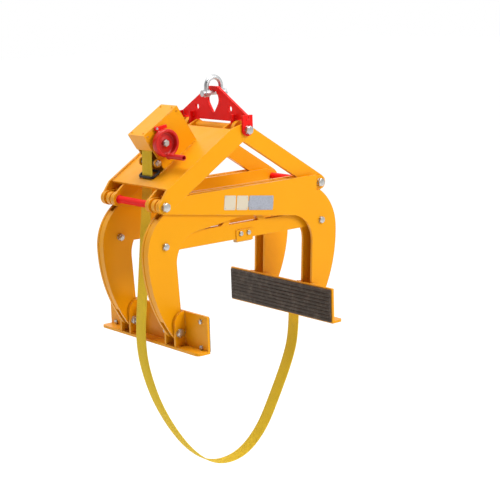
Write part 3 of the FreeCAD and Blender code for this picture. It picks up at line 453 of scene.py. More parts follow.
thread = {"dark": (0.36, 0.31, 0.03, 1), "light": (0.80, 0.74, 0.20, 1), "twist": (900.0, 2.0),
          "roughness": (0.3, 0.7, 0.5, 0.8)}


def threadFinish():
    finish, tree, put, place = newFinish("sewingThread")
    twist = noiseNode(tree, place, *thread["twist"])
    feed(tree, put, {"Base Color": mixColour(tree, twist, thread["dark"], thread["light"]),
                     "Roughness": rangeNode(tree, twist, *thread["roughness"])})
    return finish


def floorFinish():
    finish, tree, put, place = newFinish("studioFloor")
    cloud = patchNode(tree, place, studio["floorPatch"])
    feed(tree, put, {"Base Color": mixColour(tree, cloud, studio["floorDark"], studio["floorShade"]),
                     "Roughness": studio["floorRoughness"], "Emission Color": studio["skyShade"],
                     "Emission Strength": studio["floorGlow"]})
    return finish


looks = {name: (paintFinish if "paint" in look else steelFinish)(name) for name, look in finishes.items()}
looks.update(padRubber=rubberFinish(), strapWebbing=webbingFinish(), sewingThread=threadFinish())
print("finishes:", ", ".join(sorted(looks)))

slotLooks = {
    "orange_paint": "orangePaint", "red_paint": "redPaint", "zinc_steel": "zincSteel", "bronze": "bronze",
    "pad_rubber": "padRubber", "black_steel": "blackPaint", "webbing": "strapWebbing",
    "plate_metal": "plateSilver",
}


def dressFrame():
    for part in frame["record"]["subparts"]:
        look = "forgedZinc" if part["node"].startswith("shackle") else slotLooks[part["material_slot"]]
        for slot in frame["nodes"][part["node"]].material_slots:
            slot.material = looks[look]


# Mesh tools

def fullTurn(steps):
    return [2 * math.pi * k / steps for k in range(steps)]


def addRings(work, rings, place=Matrix.Identity(4)):
    # joins rings of equal count, a ring of one point being a closed pole
    made = [[work.verts.new(place @ Vector(point)) for point in ring] for ring in rings]
    for first, second in zip(made, made[1:]):
        for k in range(max(len(first), len(second))):
            ends = [first[k % len(first)], first[(k + 1) % len(first)],
                    second[(k + 1) % len(second)], second[k % len(second)]]
            work.faces.new(list(dict.fromkeys(ends)))


def turnedRings(profile, steps):
    # rings of a turned shape from (radius, height) pairs
    return [[(radius * math.cos(a), radius * math.sin(a), height) for a in fullTurn(steps)] if radius
            else [(0, 0, height)] for radius, height in profile]


def smoothMesh(mesh, crease=creaseAngle):
    mesh.shade_smooth()
    mesh.set_sharp_from_angle(angle=math.radians(crease))
    return mesh


def finishMesh(work, name, crease=creaseAngle):
    bmesh.ops.recalc_face_normals(work, faces=work.faces)
    mesh = bpy.data.meshes.new(name)
    work.to_mesh(mesh)
    work.free()
    return smoothMesh(mesh, crease)


def turnedMesh(name, profile, steps, place=Matrix.Identity(4), crease=creaseAngle):
    work = bmesh.new()
    addRings(work, turnedRings(profile, steps), place)
    bmesh.ops.remove_doubles(work, verts=work.verts, dist=mergeGap)
    return finishMesh(work, name, crease)


def evaluatedMesh(holder):
    graph = bpy.context.evaluated_depsgraph_get()
    return bpy.data.meshes.new_from_object(holder.evaluated_get(graph), depsgraph=graph)


def newPiece(name, mesh, body=None, replaced=(), look=None):
    piece = linked(name, mesh)
    if look:
        mesh.materials.append(looks[look])
    if body:
        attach(piece, body)
    if replaced:
        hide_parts(*replaced)
    return piece


def looseParts(node):
    # the points of each separate solid in a node
    work = bmesh.new()
    work.from_mesh(frame["nodes"][node].data)
    bmesh.ops.remove_doubles(work, verts=work.verts, dist=mergeGap)
    seen, parts = set(), []
    for start in work.verts:
        if start in seen:
            continue
        seen.add(start)
        island = [start]
        for here in island:  # it grows as it is walked
            fresh = {edge.other_vert(here) for edge in here.link_edges} - seen
            seen |= fresh
            island += fresh
        parts.append([vertex.co.copy() for vertex in island])
    work.free()
    return parts


def corners(points):
    return tuple(Vector([pick(point[k] for point in points) for k in range(3)]) for pick in (min, max))


# Geometry Nodes trees

def placeShapes(tree, given, put, values):
    # sets the shape on each point and makes it plain geometry with the finish
    shape = addNode(tree, "GeometryNodeObjectInfo", {"Object": given["Shape"]}).outputs["Geometry"]
    placed = addNode(tree, "GeometryNodeInstanceOnPoints", {"Instance": shape, **values}).outputs[0]
    real = addNode(tree, "GeometryNodeRealizeInstances", {"Geometry": placed}).outputs[0]
    values = {"Geometry": real, "Material": given["Finish"]}
    feed(tree, put, {"Mesh": addNode(tree, "GeometryNodeSetMaterial", values).outputs[0]})
    return tree


def randomBetween(tree, low, high, seed):
    values = {2: low, 3: high, 8: seed}
    return addNode(tree, "FunctionNodeRandomValue", values, data_type="FLOAT").outputs[1]


def fastenerTree():
    tree, given, put = newGroup("fastenersOnSeats", {
        "Seats": "geometry", "Shape": "object", "Largest Spin": "value", "Seed": "seed", "Finish": "finish",
    }, {"Mesh": "geometry"}, "GeometryNodeTree")
    facing = addNode(tree, "GeometryNodeInputNamedAttribute", {"Name": "facing"}, data_type="FLOAT_VECTOR")
    values = {"Vector": facing.outputs[0]}
    aligned = addNode(tree, "FunctionNodeAlignRotationToVector", values, axis="Z").outputs[0]
    angle = randomBetween(tree, 0.0, given["Largest Spin"], given["Seed"])
    spin = addNode(tree, "FunctionNodeAxisAngleToRotation", {"Axis": (0, 0, 1), "Angle": angle}).outputs[0]
    turned = addNode(tree, "FunctionNodeRotateRotation", {"Rotation": aligned, "Rotate By": spin},
                     rotation_space="LOCAL").outputs[0]
    return placeShapes(tree, given, put, {"Points": given["Seats"], "Rotation": turned})


def beadTree():
    tree, given, put = newGroup("beadsAlongSeams", {
        "Seams": "geometry", "Shape": "object", "Spacing": "value", "Smallest": "value", "Largest": "value",
        "Seed": "seed", "Finish": "finish",
    }, {"Mesh": "geometry"}, "GeometryNodeTree")
    curve = addNode(tree, "GeometryNodeMeshToCurve", {"Mesh": given["Seams"]}).outputs[0]
    values = {"Curve": curve, "Length": given["Spacing"]}
    dots = addNode(tree, "GeometryNodeCurveToPoints", values, mode="LENGTH").outputs
    size = randomBetween(tree, given["Smallest"], given["Largest"], given["Seed"])
    return placeShapes(tree, given, put, {
        "Points": dots["Points"], "Rotation": dots["Rotation"], "Scale": size})


trees = {"fasteners": fastenerTree(), "beads": beadTree()}


def growMesh(name, seed, tree, values):
    # runs a tree over a seed mesh and gives back a plain mesh
    carrier = linked(name, seed)
    grow = carrier.modifiers.new("grow", "NODES")
    grow.node_group = trees[tree]
    for item in trees[tree].interface.items_tree:
        if item.in_out == "INPUT" and item.name in values:
            grow[item.identifier] = values[item.name]
    mesh = evaluatedMesh(carrier)
    carrier.modifiers.remove(grow)
    for spare in [carrier] + [value for value in values.values() if isinstance(value, bpy.types.Object)]:
        bpy.data.objects.remove(spare)
    mesh.name = name
    return smoothMesh(mesh)


def fastenAll(name, shape, seats, spin, seed, look):
    # a copy of a shape on each seat, which is a place and the way that the copy faces
    mesh = bpy.data.meshes.new("seats")
    mesh.from_pydata([place for place, facing in seats], [], [])
    ways = mesh.attributes.new("facing", "FLOAT_VECTOR", "POINT")
    for k, (place, facing) in enumerate(seats):
        ways.data[k].vector = facing
    return growMesh(name, mesh, "fasteners", {
        "Shape": linked("fastener", shape), "Largest Spin": spin, "Seed": seed, "Finish": looks[look]})


def beadAll(name, seams, bead, seed, look):
    # turned beads along each seam, which is a run of two or more points
    size = Matrix.Diagonal((bead["radius"], bead["radius"], bead["length"], 1))
    shape = turnedMesh("bead", bead["profile"], bead["sides"], size, bead["crease"])
    places, edges = [], []
    for seam in seams:
        edges += [(len(places) + k, len(places) + k + 1) for k in range(len(seam) - 1)]
        places += [tuple(place) for place in seam]
    mesh = bpy.data.meshes.new("seams")
    mesh.from_pydata(places, edges, [])
    return growMesh(name, mesh, "beads", {
        "Shape": linked("bead", shape), "Spacing": bead["spacing"], "Smallest": bead["smallest"],
        "Largest": bead["largest"], "Seed": seed, "Finish": looks[look]})


def joinMeshes(name, meshes):
    work = bmesh.new()
    for mesh in meshes:
        work.from_mesh(mesh)
    joined = bpy.data.meshes.new(name)
    work.to_mesh(joined)
    work.free()
    for finish in meshes[0].materials:
        joined.materials.append(finish)
    return smoothMesh(joined)


# Securing strap: one loop of webbing, in two halves that meet at its lowest point

strap = {
    "width": 0.050,
    "thickness": 0.003,
    "route": [  # x and z from the top pivot, along the solid strap and up into the eye
        (-0.259, -0.024), (-0.260, -0.128), (-0.272, -0.231), (-0.299, -0.473), (-0.318, -0.640),
        (-0.283, -0.784), (-0.226, -0.902), (-0.147, -1.012), (-0.055, -1.079), (0.055, -1.079),
        (0.147, -1.012), (0.216, -0.896), (0.268, -0.800), (0.297, -0.721), (0.301, -0.648),
    ],
    "order": 3,  # of the smooth line along the route
    "fineness": 14,  # steps of that line for each point
    "edgeSteps": 4,
    "winchRun": 0.13,  # height below its start, for a point below the strap's first point
    "eyeRun": 0.20,  # length of the last part, whose starting point is found on the line
}


def smoothLine(points):
    lineData = bpy.data.curves.new("strapLine", "CURVE")
    lineData.dimensions = "3D"
    spline = lineData.splines.new("NURBS")
    spline.points.add(len(points) - 1)
    for point, place in zip(spline.points, points):
        point.co = (*place, 1)
    spline.order_u = strap["order"]
    spline.use_endpoint_u = True
    lineData.resolution_u = strap["fineness"]
    holder = linked("strapLine", lineData)
    mesh = evaluatedMesh(holder)
    line = [vertex.co.copy() for vertex in mesh.vertices]
    bpy.data.objects.remove(holder)
    bpy.data.meshes.remove(mesh)
    return line


def bandMesh(name, line, width, thickness, start=0.0):
    # a flat band with round edges along a line in the XZ plane, mapped across and along its weave
    radius, steps = thickness / 2, strap["edgeSteps"]
    turns = [math.pi * (k / steps - 0.5) for k in range(steps + 1)]
    edge = [(width / 2 - radius + radius * math.cos(t), radius * math.sin(t)) for t in turns]
    section = edge + [(-a, -b) for a, b in edge]
    count = len(section)
    work = bmesh.new()
    strapUv = work.loops.layers.uv.new("strapUv")
    rings, runs, run = [], [], start
    for k, here in enumerate(line):
        before, after = line[max(k - 1, 0)], line[min(k + 1, len(line) - 1)]
        normal = (after - before).normalized().cross(acrossTongs)
        rings.append([work.verts.new(here + acrossTongs * a + normal * b) for a, b in section])
        run += (here - line[k - 1]).length if k else 0.0
        runs.append(run)

    def addFace(marks):
        face = work.faces.new([rings[k][i] for k, i in marks])
        for loop, (k, i) in zip(face.loops, marks):
            loop[strapUv].uv = (section[i][0] / width + 0.5, runs[k] / width)

    for k in range(len(line) - 1):
        for i in range(count):
            j = (i + 1) % count
            addFace([(k, i), (k, j), (k + 1, j), (k + 1, i)])
    for k in (0, len(line) - 1):
        addFace([(k, i) for i in range(count)])
    return finishMesh(work, name)


def lineLength(line):
    return sum((b - a).length for a, b in zip(line, line[1:]))


def makeStrap(eye):
    line = smoothLine([(x, 0.0, topPivot.z + z) for x, z in strap["route"]])
    lowest = min(range(len(line)), key=lambda k: (round(line[k].z, 5), abs(line[k].x)))
    first, bottom, last = line[0], line[lowest], line[-1]
    bend = next(point for k, point in enumerate(line) if lineLength(line[k:]) < strap["eyeRun"])
    free = Vector((first.x, 0, first.z - strap["winchRun"]))
    below = Vector((first.x, 0, bottom.z))
    halves = [
        ("strapWinchHalf", line[:lowest + 1], "winch_link", "right_lever", free, below, []),
        ("strapEyeHalf", line[lowest:], "right_lever", "right_jaw", bend, last, eye),
    ]
    start = 0.0
    for name, half, body, nextBody, begin, end, extra in halves:
        mesh = bandMesh(name, half, strap["width"], strap["thickness"], start)
        start += lineLength(half)
        piece = newPiece(name, mesh, replaced=("securing_strap",), look="strapWebbing")
        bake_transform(piece)
    print("strap:", round(start, 3), "m of webbing, lowest at", round(bottom.z, 3))


# Sewn eye of the strap, round the rod on the right jaw's shelf

strapEye = {
    "throat": 0.021,  # where the two plies meet, below the rod's middle
    "plyGap": 0.0001,
    "turnSteps": 28,
    "seamInset": 0.005,
    "stitchRise": 0.00015,
}
stitching = {
    "profile": [(0, -0.5), (0.7, -0.42), (1, -0.2), (1, 0.2), (0.7, 0.42), (0, 0.5)], "sides": 6,
    "crease": creaseAngle, "radius": 0.0005, "length": 0.0042, "spacing": 0.0054, "smallest": 0.94,
    "largest": 1.04, "seed": 4,
}


def makeEye():
    low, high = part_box("strap_eye")
    outer = (high.x - low.x) / 2
    radius = outer - strap["thickness"] / 2
    middle = Vector(((low.x + high.x) / 2, 0, high.z - outer))
    foot = low.z - middle.z
    lean = strap["thickness"] / 2 + strapEye["plyGap"]
    drop = strapEye["throat"]
    tilt = math.asin((radius - lean) / math.hypot(drop, lean)) - math.atan2(lean, drop)
    steps = strapEye["turnSteps"]
    angles = [-tilt + (math.pi + 2 * tilt) * k / steps for k in range(steps + 1)]
    turn = [(radius * math.cos(a), radius * math.sin(a)) for a in angles]
    route = [(lean, foot), (lean, -drop)] + turn + [(-lean, -drop), (-lean, foot)]
    line = [middle + Vector((x, 0, z)) for x, z in route]
    mesh = bandMesh("strapEyeLoop", line, strap["width"], strap["thickness"])
    eye = newPiece("strapEyeLoop", mesh, "right_jaw", ("strap_eye",), "strapWebbing")
    half = strap["width"] / 2 - strapEye["seamInset"]
    top, bottom = middle.z - drop - strapEye["seamInset"], low.z + strapEye["seamInset"]
    face = strap["thickness"] + strapEye["plyGap"] + strapEye["stitchRise"]
    seams = []
    for x in (middle.x - face, middle.x + face):
        box = [(x, -half, bottom), (x, half, bottom), (x, half, top), (x, -half, top)]
        seams += [(box[k], box[(k + 1) % 4]) for k in range(4)] + [(box[0], box[2]), (box[1], box[3])]
    sewn = beadAll("strapEyeStitches", seams, stitching, stitching["seed"], "sewingThread")
    stitches = newPiece("strapEyeStitches", sewn, "right_jaw")
    print("eye: two plies and", len(seams), "seams")
    return [eye, stitches]


# Wound strap on the winch drum

strapRoll = {"turnSteps": 48, "core": 0.0137, "plyShare": 0.94}  # core: radius of the first ply's middle


def makeStrapRoll():
    low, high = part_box("strap_roll")
    core, outer = strapRoll["core"], (high.z - low.z) / 2 - strap["thickness"] / 2
    turns = (outer - core) / strap["thickness"]
    steps = int(strapRoll["turnSteps"] * turns)
    line = []
    for k in range(steps + 1):
        angle = math.pi + 2 * math.pi * turns * (1 - k / steps)
        radius = core + (outer - core) * k / steps
        line.append(winchAxis + Vector((math.cos(angle), 0, math.sin(angle))) * radius)
    mesh = bandMesh("strapRoll", line, strap["width"], strap["thickness"] * strapRoll["plyShare"])
    newPiece("strapRoll", mesh, "winch_rotor", ("strap_roll",), "strapWebbing")
    print("roll:", round(turns, 2), "turns on the drum")


# Bolts and nuts, each seated where its solid in the frame is

bolting = {
    "washerShare": 0.07,  # of the flats
    "washerRadiusShare": 0.54,
    "washerLipShare": 0.25,
    "crownShare": 0.96,
    "chamferAngle": 30,
    "hexSteps": 48,
    "threadPitchShare": 0.14,  # of the shank's radius
    "threadDepthShare": 0.6,
    "threads": 9,
    "tipChamferShare": 0.2,
    "roundSteps": 32,
    "spin": math.pi / 3,
    "sets": [  # piece, node, body, direction of the shank: 0 along X, 1 along Y
        ("topPivotHardware", "top_pivot_bolts", "suspension", 1),
        ("leftKnuckleHardware", "left_knuckle_bolts", "winch_link", 1),
        ("rollerHardware", "guide_roller_bolt", "winch_link", 1),
        ("rightKnuckleHardware", "right_knuckle_bolts", "right_link", 1),
        ("rightArmHardware", "right_arm_bolts", "right_lever", 1),
        ("leftArmHardware", "left_arm_bolts", "left_lever", 1),
        ("rightJawHardware", "right_jaw_pivot_bolts", "right_jaw", 1),
        ("leftJawHardware", "left_jaw_pivot_bolts", "left_jaw", 1),
        ("rightPadHardware", "right_jaw_pad_screws", "right_jaw", 0),
        ("leftPadHardware", "left_jaw_pad_screws", "left_jaw", 0),
        ("stopPadHardware", "stop_pad_bolts", "depth_stop", 1),
    ],
}
rimShare = 0.9  # points farther out than this share belong to the rim


def hexRings(flats, low, high, chamferLow):
    # a hexagon head with its corners turned off at the top, and below too on a nut
    apothem = flats / 2
    crown = apothem * bolting["crownShare"]
    slope = math.tan(math.radians(bolting["chamferAngle"]))
    angles = fullTurn(bolting["hexSteps"])
    reach = [apothem / math.cos(a % (math.pi / 3) - math.pi / 6) for a in angles]
    circle = [crown] * len(angles)

    def ring(radii, height, way=0):
        return [(r * math.cos(a), r * math.sin(a), height + way * slope * (r - crown))
                for a, r in zip(angles, radii)]

    lower = [ring(circle, low), ring(reach, low, 1)] if chamferLow else [ring(reach, low)]
    return [[(0, 0, low)]] + lower + [ring(reach, high, -1), ring(circle, high), [(0, 0, high)]]


def readFastener(points, axis):
    # head or nut, seat, way out and sizes, read from one solid
    low, high = corners(points)
    middle = (low + high) / 2
    radii = [math.hypot(*(point[k] - middle[k] for k in range(3) if k != axis)) for point in points]
    rim = max(radii)
    levels = [point[axis] for point, radius in zip(points, radii) if radius > rimShare * rim]
    headLow, headHigh = min(levels), max(levels)
    reach = (high[axis] - low[axis]) - (headHigh - headLow)
    isNut = reach < levelGap
    if isNut:
        outward = -1 if middle[axis] > 0 else 1  # nuts face the middle of the tongs
        shank = min(radii)
    else:
        outward = 1 if high[axis] - headHigh < headLow - low[axis] else -1
        tip = low[axis] if outward > 0 else high[axis]
        shank = max(r for point, r in zip(points, radii) if abs(point[axis] - tip) < levelGap)
    seat = middle.copy()
    seat[axis] = headLow if outward > 0 else headHigh
    facing = Vector([outward if k == axis else 0.0 for k in range(3)])
    return {"isNut": isNut, "seat": seat, "facing": facing, "flats": rim * math.sqrt(3),
            "height": headHigh - headLow, "shank": shank, "reach": reach}


def fastenerMesh(size):
    work = bmesh.new()
    flats, shank, steps = size["flats"], size["shank"], bolting["roundSteps"]
    washer, outer = flats * bolting["washerShare"], flats * bolting["washerRadiusShare"]
    lip = washer * bolting["washerLipShare"]
    inner = outer - lip
    profile = [(0, 0), (inner, 0), (outer, lip), (outer, washer - lip), (inner, washer), (0, washer)]
    addRings(work, turnedRings(profile, steps))
    addRings(work, hexRings(flats, washer, size["height"], size["isNut"]))
    if not size["isNut"]:
        pitch, chamfer = shank * bolting["threadPitchShare"], shank * bolting["tipChamferShare"]
        root = shank - pitch * bolting["threadDepthShare"]
        end = -size["reach"]
        profile = [(0, washer), (shank, washer)]
        first = end + chamfer + pitch * bolting["threads"]
        if first < 0:
            for k in range(bolting["threads"]):
                level = first - k * pitch
                profile += [(shank, level), (root, level - pitch / 2)]
        profile += [(shank, end + chamfer), (shank - chamfer, end), (0, end)]
        addRings(work, turnedRings(profile, steps))
    return finishMesh(work, "fastener")


def makeBolts():
    for name, node, body, axis in bolting["sets"]:
        read = [readFastener(points, axis) for points in looseParts(node)]
        meshes = []
        for isNut in (False, True):
            group = [size for size in read if size["isNut"] == isNut]
            if group:
                seats = [(size["seat"], size["facing"]) for size in group]
                shape, seed = fastenerMesh(group[0]), len(name) + isNut
                meshes.append(fastenAll(name, shape, seats, bolting["spin"], seed, "zincSteel"))
        newPiece(name, joinMeshes(name, meshes), body, (node,))
    print("bolts:", len(bolting["sets"]), "sets")


# Weld beads along the joints of plates

welding = {
    "profile": [(0, -1), (0.72, -0.7), (1, 0), (0.72, 0.7), (0, 1)], "sides": 8, "crease": 80,
    "radius": 0.0026, "length": 0.0019, "spacing": 0.0022, "smallest": 0.88, "largest": 1.12,
    "ringSteps": 32, "stopInset": 0.004,
}


def linkPoint(along, rise, y):
    return topPivot + linkRun * along + linkRise * rise + acrossTongs * y


def linkRange(points):
    runs = [(point - topPivot).dot(linkRun) for point in points]
    rises = [(point - topPivot).dot(linkRise) for point in points]
    return min(runs), max(runs), min(rises), max(rises)


def jawSeams(side):
    seams = []
    for points in looseParts(side + "_jaw_cheeks"):
        low, high = corners(points)
        inner, outer = (low.x, high.x) if side == "right" else (high.x, low.x)
        seams += [[(inner, y, high.z), (inner, y, low.z), (outer, y, low.z)] for y in (low.y, high.y)]
    return seams


def suspensionSeams():
    seams = []
    plateLow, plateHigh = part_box("suspension_plate")
    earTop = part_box("clevis_ears")[1].z
    ends = [point.z for point in looseParts("suspension_plate")[0] if point.y > rimShare * plateHigh.y]
    for points in looseParts("clevis_ears"):
        low, high = corners(points)
        for y in (low.y, high.y):
            for x in (plateLow.x, plateHigh.x):
                seams.append([(x, y, min(ends)), (x, y, min(earTop, max(ends)))])
    return seams


def winchSeams():
    start, finish, foot, top = linkRange(looseParts("winch_deck")[0])
    seams = [[linkPoint(along, top, end.y) for along in (start, finish)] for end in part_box("winch_deck")]
    for points in looseParts("winch_side_plates"):
        low, high = corners(points)
        start, finish, foot, top = linkRange(points)
        seams.append([linkPoint(along, foot, high.y if high.y > 0 else low.y) for along in (start, finish)])
    return seams


def tubeSeams(node, middle):
    low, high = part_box(node)
    radius = (high.z - low.z) / 2
    angles = fullTurn(welding["ringSteps"]) + [2 * math.pi]
    return [[(middle.x + radius * math.cos(a), y, middle.z + radius * math.sin(a)) for a in angles]
            for y in (low.y, high.y)]


def stopSeams():
    seams = []
    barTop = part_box("stop_bars")[1].z
    inset = welding["stopInset"]
    for points in looseParts("stop_yokes"):
        low, high = corners(points)
        feet = sorted({round(point.x, 4) for point in points if abs(point.z - barTop) < levelGap})
        seams += [[(x, low.y + inset, barTop), (x, high.y - inset, barTop)] for x in (feet[0], feet[-1])]
    return seams


def makeWelds():
    sets = [
        ("rightJawWelds", jawSeams("right"), "right_jaw", "orange_paint"),
        ("leftJawWelds", jawSeams("left"), "left_jaw", "orange_paint"),
        ("suspensionWelds", suspensionSeams(), "suspension", "red_paint"),
        ("winchWelds", winchSeams(), "winch_link", "orange_paint"),
        ("leftTubeWelds", tubeSeams("left_cross_tube", leftKnuckle), "winch_link", "red_paint"),
        ("stopWelds", stopSeams(), "depth_stop", "orange_paint"),
    ]
    for name, seams, body, slot in sets:
        newPiece(name, beadAll(name, seams, welding, len(name), slotLooks[slot]), body)
    print("welds:", len(sets), "sets")


# Blank data plates with rivets on the front beam

dataPlates = {
    "cornerRadius": 0.004, "cornerSteps": 6, "rim": 0.0004, "longShare": 1.5, "rivetInset": 0.005,
    "rivetRadius": 0.0021, "rivetRise": 0.0011, "rivetAngles": (0, 0.4, 0.8, 1.2), "rivetSteps": 12,
    "rivetCrease": 60, "rivetSink": 0.25, "rivetSpin": 0.5, "rivetSeed": 3, "thinRimShare": 0.25,
}


def roundedOutline(width, height, radius, steps):
    outline = []
    for k, (a, b) in enumerate(((1, 1), (-1, 1), (-1, -1), (1, -1))):
        for step in range(steps + 1):
            angle = math.pi / 2 * (k + step / steps)
            outline.append((a * (width / 2 - radius) + radius * math.cos(angle),
                            b * (height / 2 - radius) + radius * math.sin(angle)))
    return outline


def plateSolid(work, place, width, height, thick):
    rim = dataPlates["rim"] if thick > 2 * dataPlates["rim"] else thick * dataPlates["thinRimShare"]
    rings = []
    for inset, level in ((0.0, -thick), (0.0, -rim), (rim, 0.0)):
        outline = roundedOutline(width - 2 * inset, height - 2 * inset, dataPlates["cornerRadius"] - inset,
                                 dataPlates["cornerSteps"])
        rings.append([(x, y, level) for x, y in outline])
    addRings(work, [[(0, 0, -thick)]] + rings + [[(0, 0, 0)]], place)


def makeDataPlates():
    seats = []
    shapes = {"plateWhite": bmesh.new(), "plateSilver": bmesh.new()}
    out = -acrossTongs
    inset = dataPlates["rivetInset"]
    for points in looseParts("blank_data_plates"):
        low, high = corners(points)
        front = sorted((point for point in points if abs(point.y - low.y) < levelGap), key=lambda p: p.x)
        middle = sum(front, Vector()) / len(front)
        foot, top = sorted(front[:2], key=lambda p: p.z)  # the ends of the left side
        up = (top - foot).normalized()
        run = up.cross(out)
        width, height = (max((p - middle).dot(way) for p in front) * 2 for way in (run, up))
        place = Matrix.Translation(middle) @ Matrix((run, up, out)).transposed().to_4x4()
        isLong = width > dataPlates["longShare"] * height
        plateSolid(shapes["plateSilver" if isLong else "plateWhite"], place, width, height, high.y - low.y)
        for a in (-1, 1):
            for b in (-1, 1):
                seats.append((place @ Vector((a * (width / 2 - inset), b * (height / 2 - inset), 0)), out))
    for name, look in (("whiteDataPlates", "plateWhite"), ("silverDataPlate", "plateSilver")):
        mesh = finishMesh(shapes[look], name)
        newPiece(name, mesh, "right_lever", ("blank_data_plates",), look)
    radius, rise = dataPlates["rivetRadius"], dataPlates["rivetRise"]
    dome = [(radius * math.cos(a), rise * math.sin(a)) for a in dataPlates["rivetAngles"]]
    sink = -rise * dataPlates["rivetSink"]
    profile = [(0, sink), (radius, sink)] + dome + [(0, rise)]
    rivet = turnedMesh("rivet", profile, dataPlates["rivetSteps"], crease=dataPlates["rivetCrease"])
    spin, seed = dataPlates["rivetSpin"], dataPlates["rivetSeed"]
    rivets = fastenAll("dataPlateRivets", rivet, seats, spin, seed, "zincSteel")
    newPiece("dataPlateRivets", rivets, "right_lever")
    print("plates:", len(seats) // 4, "with", len(seats), "rivets")


# Hand wheel and crank tube

handWheel = {
    "wall": 0.004, "rim": 0.009, "lip": 0.0028, "hub": 0.015, "hubRise": 0.0005, "hubSlope": 0.001,
    "bore": 0.008, "steps": 72,
}
crank = {"wall": 0.0025, "lip": 0.0009, "steps": 32, "collar": 0.0025, "collarDepth": 0.003}


def roundCorner(x, y, radius, quarter):
    # the quarter turn that starts at this count of right angles
    angles = [math.pi / 2 * (quarter + k / rimSteps) for k in range(rimSteps + 1)]
    return [(x + radius * math.cos(a), y + radius * math.sin(a)) for a in angles]


def turnedPiece(name, node, profile, steps, middle):
    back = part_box(node)[1].y
    place = Matrix.Translation((middle.x, back, middle.z)) @ Matrix.Rotation(math.pi / 2, 4, "X")
    mesh = turnedMesh(name, profile, steps, place)
    newPiece(name, mesh, "winch_rotor", (node,), "wheelRed")


def makeWheel():
    low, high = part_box("hand_wheel")
    radius, depth = (high.z - low.z) / 2, high.y - low.y
    wall, lip, hub, bore = (handWheel[key] for key in ("wall", "lip", "hub", "bore"))
    dish = radius - handWheel["rim"]
    boss = wall + handWheel["hubRise"]
    profile = [(bore, 0)] + roundCorner(radius - lip, lip, lip, -1)
    profile += roundCorner(radius - lip, depth - lip, lip, 0) + roundCorner(dish + lip, depth - lip, lip, 1)
    profile += roundCorner(dish - lip, wall + lip, lip, -1)[::-1]
    profile += [(hub, wall), (hub - handWheel["hubSlope"], boss), (bore, boss), (bore, 0)]
    turnedPiece("handWheelDish", "hand_wheel", profile, handWheel["steps"], winchAxis)
    low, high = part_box("crank_grip")
    outer, length = (high.z - low.z) / 2, high.y - low.y
    inner, lip = outer - crank["wall"], crank["lip"]
    collar, collarDepth = outer + crank["collar"], crank["collarDepth"]
    profile = [(inner, 0), (collar, 0), (collar, collarDepth / 2), (outer, collarDepth)]
    end = length - lip
    profile += roundCorner(outer - lip, end, lip, 0) + roundCorner(inner + lip, end, lip, 1)
    turnedPiece("crankTube", "crank_grip", profile + [(inner, 0)], crank["steps"], (low + high) / 2)
    print("wheel: dished, with a hollow crank tube")


# Rubber pads

jawPads = {
    "backing": 0.0055, "corner": 0.003, "rim": 0.0012, "ribs": 9, "ribShare": 0.62, "ribFoot": 0.0044,
    "ribCorner": 0.0022, "ribRim": 0.0018, "cornerSteps": 4,
}
stopPads = {"corner": 0.004, "cornerSteps": 5, "rim": 0.0025}


def slabRings(low, high, corner, rim, steps, axis, outward):
    # a slab with round corners, whose outer face has a soft rim
    first, second = (k for k in range(3) if k != axis)
    middle, span = (low + high) / 2, high - low
    back, face = (low[axis], high[axis]) if outward > 0 else (high[axis], low[axis])

    def lift(a, b, level):
        point = middle.copy()
        point[first] += a
        point[second] += b
        point[axis] = level
        return tuple(point)

    bend = [(rim - a, face - outward * (rim - b)) for a, b in roundCorner(0, 0, rim, 0)]
    rings = [[lift(0, 0, back)]]
    for inset, level in [(0.0, back)] + bend:
        outline = roundedOutline(span[first] - 2 * inset, span[second] - 2 * inset, corner, steps)
        rings.append([lift(a, b, level) for a, b in outline])
    return rings + [[lift(0, 0, face)]]


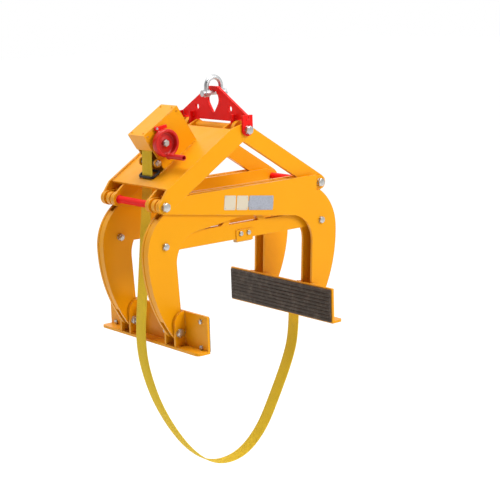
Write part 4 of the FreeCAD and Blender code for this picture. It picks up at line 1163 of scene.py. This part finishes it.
def makePads():
    edge, steps = jawPads["corner"], jawPads["cornerSteps"]
    for side, hand in (("right", -1), ("left", 1)):
        node = side + "_jaw_pad"
        low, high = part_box(node)
        work = bmesh.new()

        def addSlab(depths, yInset, bottom, top, corner, rim):
            ends = sorted(low.x + depth if hand > 0 else high.x - depth for depth in depths)
            slab = Vector((ends[0], low.y + yInset, bottom)), Vector((ends[1], high.y - yInset, top))
            addRings(work, slabRings(*slab, corner, rim, steps, 0, hand))

        addSlab((0, jawPads["backing"]), 0, low.z, high.z, edge, jawPads["rim"])
        pitch = (high.z - low.z) / jawPads["ribs"]
        for k in range(jawPads["ribs"]):
            bottom = low.z + pitch * (k + (1 - jawPads["ribShare"]) / 2)
            top = bottom + pitch * jawPads["ribShare"]
            depths = (jawPads["ribFoot"], high.x - low.x)
            addSlab(depths, edge, bottom, top, jawPads["ribCorner"], jawPads["ribRim"])
        mesh = finishMesh(work, node)
        newPiece(side + "JawPadRibbed", mesh, side + "_jaw", (node,), "padRubber")
    work = bmesh.new()
    edge, rim, steps = (stopPads[key] for key in ("corner", "rim", "cornerSteps"))
    for points in looseParts("stop_pads"):
        addRings(work, slabRings(*corners(points), edge, rim, steps, 2, -1))
    mesh = finishMesh(work, "stopPadBlocks")
    newPiece("stopPadBlocks", mesh, "depth_stop", ("stop_pads",), "padAmber")
    print("pads: two ribbed jaw pads and two stop pads")


# Small screws that hold the winch cover

coverScrews = {
    "radius": 0.0036, "rise": 0.0026, "socket": 0.0018, "inset": 0.011, "steps": 20,
    "angles": (0, 0.35, 0.7, 1.0), "wallShare": 0.25, "socketShare": 0.3, "sinkShare": 1 / 3,
    "spin": 1.0, "seed": 8,
}


def makeCoverScrews():
    radius, rise, socket, inset, wall = (
        coverScrews[key] for key in ("radius", "rise", "socket", "inset", "wallShare"))
    floor, sink = rise * coverScrews["socketShare"], -rise * coverScrews["sinkShare"]
    dome = [(radius * math.cos(a), rise * (wall + (1 - wall) * math.sin(a))) for a in coverScrews["angles"]]
    profile = [(0, sink), (radius, sink)] + dome + [(socket, rise), (socket, floor), (0, floor)]
    screw = turnedMesh("screw", profile, coverScrews["steps"])
    start, finish, foot, top = linkRange(looseParts("winch_cover")[0])
    low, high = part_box("winch_cover")
    sideLow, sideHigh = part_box("winch_side_plates")
    ends = (start + inset, finish - inset)
    seats = [(linkPoint(along, top, y), linkRise)
             for along in ends for y in (low.y + inset, high.y - inset)]
    seats += [(linkPoint(along, top - inset, y), acrossTongs * out)
              for along in ends for y, out in ((sideLow.y, -1), (sideHigh.y, 1))]
    spin, seed = coverScrews["spin"], coverScrews["seed"]
    mesh = fastenAll("winchCoverScrews", screw, seats, spin, seed, "orangePaint")
    newPiece("winchCoverScrews", mesh, "winch_link")
    print("cover:", len(seats), "screws")


setCamera()
setStudio()
dressFrame()
makeStrap(makeEye())
makeStrapRoll()
makeBolts()
makeWelds()
makeDataPlates()
makeWheel()
makePads()
makeCoverScrews()
